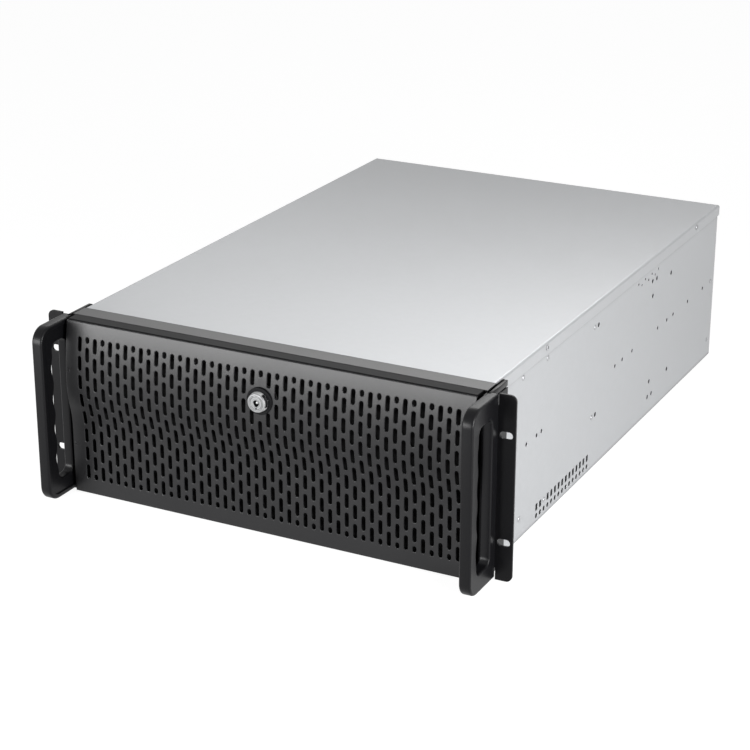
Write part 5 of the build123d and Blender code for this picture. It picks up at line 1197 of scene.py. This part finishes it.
class SERVER_OT_lock(bpy.types.Operator):
    """Make the lock's head and its turning core."""

    bl_idname = "server.lock"
    bl_label = "Lock"

    def execute(self, context):
        low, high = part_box("lock_barrel")
        front = low.y
        height = context.scene.server_door.lock_z
        body_depth = (high.y - front) / MM
        bm = lathe(lock_body_profile(body_depth), 48, head_slot)
        turned_on_y(bm, front, height)
        head = make_piece("lock_head", bm, HEAD_SLOTS, "door", ["lock_barrel"], 25.0)
        notch = sector(
            inner=7.9 * MM, outer=10.4 * MM, start=-58, end=24, near=1.4 * MM, far=5.1 * MM)
        turned_on_y(notch, front, height)
        cut_away(head, [pattern_object("head_notch", notch, ["black_screw"])])
        core_total = (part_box("lock_plug")[1].y - front) / MM
        bm = lathe(lock_plug_profile(body_depth, core_total), 40, core_slot)
        turned_on_y(bm, front, height)
        core = make_piece("lock_core", bm, CORE_SLOTS, "lock", ["lock_plug"], 25.0)
        notch = bmesh.new()
        notch_low = (-1.3 * MM, front - 1.0 * MM, height - 3.4 * MM)
        notch_high = (1.3 * MM, front + 5.9 * MM, height - 2.0 * MM)
        box_into(notch, notch_low, notch_high)
        dot = lathe(profile_mm([(0.0, -1.0), (0.8, -1.0), (0.8, 0.9), (0.0, 0.9)]), 16)
        turned_on_y(dot, front, height - 4.9 * MM)
        shapes = (("key_notch", notch), ("index_dot", dot))
        cut_away(core, [pattern_object(name, shape, ["black_screw"]) for name, shape in shapes])
        return {"FINISHED"}


# Fasteners
def rivet_shape(radius, rise):
    """Pulled rivet: a low dome with a dimple."""
    points = [(0.0, 0.55), (0.30, 0.55), (0.36, 0.95), (0.62, 0.9), (0.86, 0.55), (1.0, 0.0), (0.0, 0.0)]
    return lathe([(radius * part, rise * level) for part, level in points], 14)


def cross_screw_shape(radius, rise, length_below, recess):
    """Low screw head with a cross recess, and its shank."""
    steps = 20
    flat = 0.78 * radius
    shoulders = [(flat, 1.0), (0.93 * radius, 0.72), (radius, 0.25), (radius, 0.0), (0.5 * radius, 0.0)]
    profile = [(part, rise * level) for part, level in shoulders]
    profile += [(0.5 * radius, -length_below), (0.0, -length_below)]
    bm = lathe(profile, steps)
    bm.verts.ensure_lookup_table()
    rim = bm.verts[:steps]
    wide, thin = 0.62 * radius, 0.17 * radius
    corners = [(thin, thin), (thin, wide), (-thin, wide), (-thin, thin), (-wide, thin), (-wide, -thin)]
    corners += [(-thin, -thin), (-thin, -wide), (thin, -wide), (thin, -thin), (wide, -thin), (wide, thin)]
    top = [bm.verts.new((x, y, rise)) for x, y in corners]
    foot = [bm.verts.new((x * 0.8, y * 0.8, rise - recess)) for x, y in corners]
    for step in range(12):
        after = (step + 1) % 12
        bm.faces.new((top[step], top[after], foot[after], foot[step]))
    bm.faces.new(foot)
    fill_between(bm, list(rim), top)
    return bm


def socket_screw_shape(radius, rise, length_below):
    """Low button head with a socket, and its shank."""
    points = [(0.0, -0.3), (0.46, -0.3), (0.50, 0.9), (0.62, 1.0), (0.88, 0.75), (1.0, 0.2), (1.0, 0.0)]
    points.append((0.55, 0.0))
    profile = [(radius * part, rise * level) for part, level in points]
    return lathe(profile + [(0.55 * radius, -length_below), (0.0, -length_below)], 18)


def both_sides(x, places, spin=0.4):
    """Points on both side walls, facing outwards, from depths and heights in millimetres."""
    points = []
    for side in (-1, 1):
        for index, (y, z) in enumerate(places):
            points.append(((side * x, behind_ears(y * MM), z * MM), (side, 0.0, 0.0), spin * (index + 1)))
    return points


# Places of fasteners in millimetres: depth behind the ears and height on the sides
WALL_RIVETS = (
    (83.2, 159.9), (139.5, 159.7), (82.1, 21.8), (615.0, 91.2), (615.0, 21.8), (141.4, 17.0),
    (258.0, 151.2), (258.0, 57.6))
COVER_SCREWS = ((133.8, 172.2), (549.8, 172.2))
EAR_SCREWS = ((12.0, 25.0), (12.0, 88.0), (12.0, 150.0))
# Height and depth on the door's front, at the same distance on both sides of the middle
SKIN_SCREWS = ((127.5, -19.3), (50.6, -13.5))
SKIN_SCREW_X = 207.5
# Distance from the middle and height on the back panel
SUPPLY_SCREWS = tuple((x, z) for x in (122.5, 203.5) for z in (13.2, 139.2))
FAN_CENTRES = ((-7.95, 105.0), (72.05, 105.0))
FAN_HOLE = 32.8
REAR_FAN_SCREWS = tuple(
    (x + dx, z + dz)
    for x, z in FAN_CENTRES for dx in (-FAN_HOLE, FAN_HOLE) for dz in (-FAN_HOLE, FAN_HOLE))
# How far the heads of the solids in the frame stand out of the sheet
RIVET_RISE = 0.8 * MM
EAR_HEAD_RISE = 1.6 * MM
REAR_HEAD_RISE = 2.0 * MM


class SERVER_OT_fasteners(bpy.types.Operator):
    """Set out rivets and screws."""

    bl_idname = "server.fasteners"
    bl_label = "Fasteners"

    def execute(self, context):
        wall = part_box("side_rivets")[1].x - RIVET_RISE
        rivet = rivet_shape(radius=2.6 * MM, rise=RIVET_RISE)
        set_out("wall_rivets", both_sides(wall, WALL_RIVETS), rivet, "zinc", "case", ["side_rivets"])
        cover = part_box("top_cover")[1].x
        screw = cross_screw_shape(
            radius=2.8 * MM, rise=0.85 * MM, length_below=2.0 * MM, recess=0.6 * MM)
        set_out("lid_screws", both_sides(cover, COVER_SCREWS), screw, "zinc", "cover", ["cover_screws"])
        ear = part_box("ear_screws")[1].x - EAR_HEAD_RISE
        screw = cross_screw_shape(
            radius=3.6 * MM, rise=1.55 * MM, length_below=7.0 * MM, recess=1.0 * MM)
        set_out("bracket_screws", both_sides(ear, EAR_SCREWS), screw, "black_screw", "case", ["ear_screws"])
        places = [
            ((side * SKIN_SCREW_X * MM, behind_ears(y * MM), z * MM), (0.0, -1.0, 0.0), 0.3)
            for side in (-1, 1) for z, y in SKIN_SCREWS]
        screw = socket_screw_shape(radius=1.9 * MM, rise=0.6 * MM, length_below=5.0 * MM)
        set_out("door_screws", places, screw, "black_screw", "door", ["skin_screws"])
        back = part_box("rear_screws")[1].y - REAR_HEAD_RISE
        places = [
            ((x * MM, back, z * MM), (0.0, 1.0, 0.0), 0.5 * index)
            for index, (x, z) in enumerate(SUPPLY_SCREWS + REAR_FAN_SCREWS)]
        screw = cross_screw_shape(
            radius=2.9 * MM, rise=1.9 * MM, length_below=4.0 * MM, recess=1.1 * MM)
        set_out("panel_screws", places, screw, "black_screw", "case", ["rear_screws"])
        return {"FINISHED"}


# Things soldered to the mainboard, in millimetres from the middle and behind the ears
BOARD_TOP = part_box("mainboard")[1].z
CHOKES = tuple((18.0 + 10.5 * step, y) for y in (404.5, 531.0) for step in range(8))
CAPACITORS = tuple((18.0 + 10.5 * step, y) for y in (415.0, 424.5, 541.5) for step in range(8))
CHIPS = (
    (-66.0, 302.0), (-66.0, 322.0), (-84.0, 312.0), (-172.0, 304.0),
    (30.0, 562.0), (60.0, 570.0), (84.0, 560.0))
PIN_HEADERS = ((-180.0, 340.0), (-160.0, 346.0), (-108.0, 346.0), (-84.0, 346.0), (-60.0, 346.0))
HUB_HEATSINK = ((-130.0, 318.0),)
CLOCK_CELL = ((-172.0, 324.0),)
SMALL_PARTS = 260
SMALL_PART_ROOM = 9.0
SMALL_PART_AREAS = (
    (-188.0, -48.0, 294.0, 354.0), (14.0, 102.0, 398.5, 431.0), (14.0, 104.0, 525.0, 590.0))


def on_board(places, turns=(0.0,)):
    """Points on the mainboard, facing up, from millimetres across and behind the ears."""
    points = []
    for index, (x, y) in enumerate(places):
        turn = turns[index % len(turns)]
        points.append(((x * MM, behind_ears(y * MM), BOARD_TOP), (0.0, 0.0, 1.0), turn))
    return points


def block_shape(width, depth, height, rounding):
    """A box that stands on its middle."""
    bm = bmesh.new()
    box_into(bm, (-width / 2, -depth / 2, 0.0), (width / 2, depth / 2, height), rounding)
    return bm


def can_shape(radius, height):
    """Capacitor can: crimped foot and scored lid."""
    points = [(0.0, 0.97), (0.78, 0.97), (0.86, 1.0), (0.97, 0.98), (1.0, 0.93), (1.0, 0.22), (0.92, 0.17)]
    points += [(1.0, 0.12), (1.0, 0.0), (0.0, 0.0)]
    return lathe([(radius * part, height * level) for part, level in points], 20)


def chip_legs_shape(size, height, count):
    """Legs on the four sides of a flat chip."""
    bm = bmesh.new()
    half = 0.02 * size
    for leg in range(count):
        along = size * (leg + 0.5 - count / 2) / (count + 1)
        for near, far in ((-0.56, -0.49), (0.49, 0.56)):
            box_into(bm, (along - half, near * size, 0.0), (along + half, far * size, 0.4 * height))
            box_into(bm, (near * size, along - half, 0.0), (far * size, along + half, 0.4 * height))
    return bm


def header_pins_shape(pins, pitch, height):
    """Two rows of square pins."""
    bm = bmesh.new()
    half = 0.3 * MM
    for pin in range(pins):
        x = (pin + 0.5 - pins / 2) * pitch
        for y in (-0.5 * pitch, 0.5 * pitch):
            box_into(bm, (x - half, y - half, 0.2 * height), (x + half, y + half, height))
    return bm


def fin_block_shape(size, height, fins):
    """Small heatsink with upright fins."""
    bm = block_shape(size, size, 0.25 * height, 0.3 * MM)
    half_fin = 0.5 * MM
    for fin in range(fins):
        x = size * ((fin + 0.5) / fins - 0.5)
        box_into(bm, (x - half_fin, -size / 2, 0.2 * height), (x + half_fin, size / 2, height), 0.2 * MM)
    return bm


def small_parts(count):
    """Places of small parts strewn over the free areas, the same every time."""
    draw = random.Random(11)
    taken = CHOKES + CAPACITORS + CHIPS + PIN_HEADERS
    places = []
    while len(places) < count:
        x0, x1, y0, y1 = draw.choice(SMALL_PART_AREAS)
        x, y = draw.uniform(x0, x1), draw.uniform(y0, y1)
        if min(math.hypot(x - px, y - py) for px, py in taken) > SMALL_PART_ROOM:
            places.append((x, y))
    return places


class SERVER_OT_board_parts(bpy.types.Operator):
    """Set out chokes, capacitors, chips and small parts on the mainboard."""

    bl_idname = "server.board_parts"
    bl_label = "Board parts"

    def execute(self, context):
        crossed = (0.0, math.pi / 2)
        chip_size, chip_height = 12.0 * MM, 1.3 * MM
        pins, pitch = 8, 2.0 * MM
        chips = on_board(CHIPS, crossed)
        headers = on_board(PIN_HEADERS)
        strewn = on_board(small_parts(SMALL_PARTS), crossed)
        choke = block_shape(8.2 * MM, 8.2 * MM, 5.5 * MM, 0.6 * MM)
        can = can_shape(radius=3.6 * MM, height=8.0 * MM)
        chip = block_shape(chip_size, chip_size, chip_height, 0.15 * MM)
        legs = chip_legs_shape(chip_size, chip_height, count=7)
        shroud = block_shape(pins * pitch, 2.2 * pitch, 2.4 * MM, 0.2 * MM)
        pin_set = header_pins_shape(pins, pitch, height=8.5 * MM)
        heatsink = fin_block_shape(size=38.0 * MM, height=13.0 * MM, fins=12)
        cell = can_shape(radius=10.0 * MM, height=4.0 * MM)
        small_part = block_shape(1.9 * MM, 1.1 * MM, 0.7 * MM, 0.0)
        set_out("power_chokes", on_board(CHOKES), choke, "supply_grey", "case")
        set_out("board_capacitors", on_board(CAPACITORS, (0.2, 0.9, 1.7)), can, "fin_aluminium", "case")
        set_out("board_chips", chips, chip, "socket_plastic", "case")
        set_out("chip_legs", chips, legs, "port_metal", "case")
        set_out("pin_headers", headers, shroud, "socket_plastic", "case")
        set_out("header_pins", headers, pin_set, "port_metal", "case")
        set_out("hub_heatsink", on_board(HUB_HEATSINK), heatsink, "fin_aluminium", "case")
        set_out("clock_cell", on_board(CLOCK_CELL), cell, "port_metal", "case")
        set_out("small_parts", strewn, small_part, "drive_aluminium", "case")
        return {"FINISHED"}


# Finishes on the parts as they come from the frame
class SERVER_OT_finishes(bpy.types.Operator):
    """Give every part of the frame its finish."""

    bl_idname = "server.finishes"
    bl_label = "Finishes"

    def execute(self, context):
        for node, slot in SLOT_OF_NODE.items():
            # The ears share the coat of the handles
            mesh = frame["nodes"][node].data
            material = finish_of("handle_black" if node.endswith("rack_ear") else slot)
            if not mesh.materials:
                mesh.materials.append(material)
            for index in range(len(mesh.materials)):
                mesh.materials[index] = material
        return {"FINISHED"}


# Camera, floor and light
FLOOR_HALF = 12.0
FLOOR_DROP = 0.4 * MM
FULL_FAN = 180.0
# Softboxes by the name of their power: place, target, width and height in metres, fan in degrees
SOFTBOXES = {
    "front": ((-0.72, -1.6, 0.26), (0.0, -0.3, 0.12), 1.2, 0.48, FULL_FAN),
    "side": ((1.2, -0.6, 0.32), (0.2, -0.2, 0.1), 0.7, 0.5, FULL_FAN),
    "overhead": ((-0.172, 0.974, 0.898), (0.15, -0.3, 0.17), 1.68, 0.35, 52.0),
}


def seen_directly(graph):
    """True for rays that show the background: camera, mirror and glass."""
    path = graph.add("ShaderNodeLightPath").outputs
    seen = graph.math("MAXIMUM", path["Is Camera Ray"], path["Is Glossy Ray"])
    return graph.math("MAXIMUM", seen, path["Is Transmission Ray"])


def make_floor():
    """White floor that keeps a soft shadow."""
    bm = bmesh.new()
    bmesh.ops.create_grid(bm, x_segments=8, y_segments=8, size=FLOOR_HALF)
    mesh = bpy.data.meshes.new("floor")
    bm.to_mesh(mesh)
    bm.free()
    mesh.transform(Matrix.Translation((0.0, 0.0, -FLOOR_DROP)))
    material = bpy.data.materials.new("floor_white")
    material.use_nodes = True
    material.node_tree.nodes.clear()
    graph = Graph(material.node_tree)
    plain = graph.add("ShaderNodeBsdfDiffuse", {"Color": (0.8, 0.8, 0.8, 1.0)})
    shown = graph.add("ShaderNodeBsdfDiffuse", {"Color": (0.30, 0.30, 0.30, 1.0)})
    glow = graph.add("ShaderNodeEmission", {"Color": (1.0, 1.0, 1.0, 1.0), "Strength": 0.88})
    both = graph.add("ShaderNodeAddShader", {0: shown.outputs[0], 1: glow.outputs[0]})
    mix = graph.add(
        "ShaderNodeMixShader", {0: seen_directly(graph), 1: plain.outputs[0], 2: both.outputs[0]})
    graph.add("ShaderNodeOutputMaterial", {"Surface": mix.outputs[0]})
    mesh.materials.append(material)
    floor = bpy.data.objects.new("floor", mesh)
    bpy.context.scene.collection.objects.link(floor)


def make_world(ambient):
    """White all round to the eye, and a plain soft light on the case."""
    world = bpy.data.worlds.new("studio")
    bpy.context.scene.world = world
    world.use_nodes = True
    world.node_tree.nodes.clear()
    graph = Graph(world.node_tree)
    strength = graph.spread(seen_directly(graph), ambient, 1.0)
    sky = graph.add("ShaderNodeBackground", {"Color": (1.0, 1.0, 1.0, 1.0), "Strength": strength})
    graph.add("ShaderNodeOutputWorld", {"Surface": sky.outputs[0]})


def make_softbox(name, watts, place, target, width, height, fan):
    """Rectangular lamp that faces a point."""
    lamp = bpy.data.lights.new(name, "AREA")
    lamp.shape = "RECTANGLE"
    lamp.size = width
    lamp.size_y = height
    lamp.energy = watts
    lamp.spread = math.radians(fan)
    obj = bpy.data.objects.new(name, lamp)
    bpy.context.scene.collection.objects.link(obj)
    obj.location = place
    obj.rotation_mode = "QUATERNION"
    obj.rotation_quaternion = (Vector(target) - Vector(place)).to_track_quat("-Z", "Y")


def make_camera(stage):
    """Camera at the photo's place."""
    data = bpy.data.cameras.new("camera")
    data.lens = stage.lens
    data.sensor_width = 36.0
    data.clip_start = 0.01
    data.clip_end = 100.0
    camera = bpy.data.objects.new("camera", data)
    bpy.context.scene.collection.objects.link(camera)
    turn, rise = stage.azimuth, stage.elevation
    back = Vector((math.sin(turn) * math.cos(rise), -math.cos(turn) * math.cos(rise), math.sin(rise)))
    right = Vector((math.cos(turn), math.sin(turn), 0.0))
    up = back.cross(right)
    tilt = stage.roll
    side = right * math.cos(tilt) + up * math.sin(tilt)
    over = up * math.cos(tilt) - right * math.sin(tilt)
    basis = Matrix((side, over, back)).transposed().to_4x4()
    camera.matrix_world = Matrix.Translation(stage.camera_place) @ basis
    bpy.context.scene.camera = camera


class SERVER_OT_stage(bpy.types.Operator):
    """Make the floor, the light and the camera."""

    bl_idname = "server.stage"
    bl_label = "Stage"

    def execute(self, context):
        stage = context.scene.server_stage
        context.scene.view_settings.view_transform = "Standard"
        make_camera(stage)
        make_floor()
        make_world(stage.ambient)
        for name, layout in SOFTBOXES.items():
            make_softbox(name, getattr(stage, name), *layout)
        return {"FINISHED"}


class SERVER_PT_panel(bpy.types.Panel):
    """The server's sizes and steps."""

    bl_idname = "SERVER_PT_panel"
    bl_label = "Server"
    bl_space_type = "VIEW_3D"
    bl_region_type = "UI"
    bl_category = "Server"

    def draw(self, context):
        for operator in OPERATORS:
            self.layout.operator(operator.bl_idname)
        for group in GROUPS:
            values = getattr(context.scene, group)
            box = self.layout.box()
            for key in values.__annotations__:
                box.prop(values, key)


GROUPS = {
    "server_finish": ServerFinish,
    "server_door": ServerDoor,
    "server_handle": ServerHandle,
    "server_stage": ServerStage,
}
OPERATORS = (
    SERVER_OT_finishes,
    SERVER_OT_door_front,
    SERVER_OT_handles,
    SERVER_OT_lock,
    SERVER_OT_fasteners,
    SERVER_OT_board_parts,
    SERVER_OT_stage,
)


def register():
    """Adds the classes and the scene's property groups."""
    for group, kind in GROUPS.items():
        bpy.utils.register_class(kind)
        setattr(bpy.types.Scene, group, PointerProperty(type=kind))
    for operator in OPERATORS:
        bpy.utils.register_class(operator)
    bpy.utils.register_class(SERVER_PT_panel)


def unregister():
    """Takes everything away again."""
    bpy.utils.unregister_class(SERVER_PT_panel)
    for operator in reversed(OPERATORS):
        bpy.utils.unregister_class(operator)
    for group, kind in GROUPS.items():
        delattr(bpy.types.Scene, group)
        bpy.utils.unregister_class(kind)


def main():
    """Builds the look in order."""
    register()
    bpy.ops.server.finishes()
    bpy.ops.server.door_front()
    bpy.ops.server.handles()
    bpy.ops.server.lock()
    bpy.ops.server.fasteners()
    bpy.ops.server.board_parts()
    bpy.ops.server.stage()


if __name__ == "__main__":
    main()
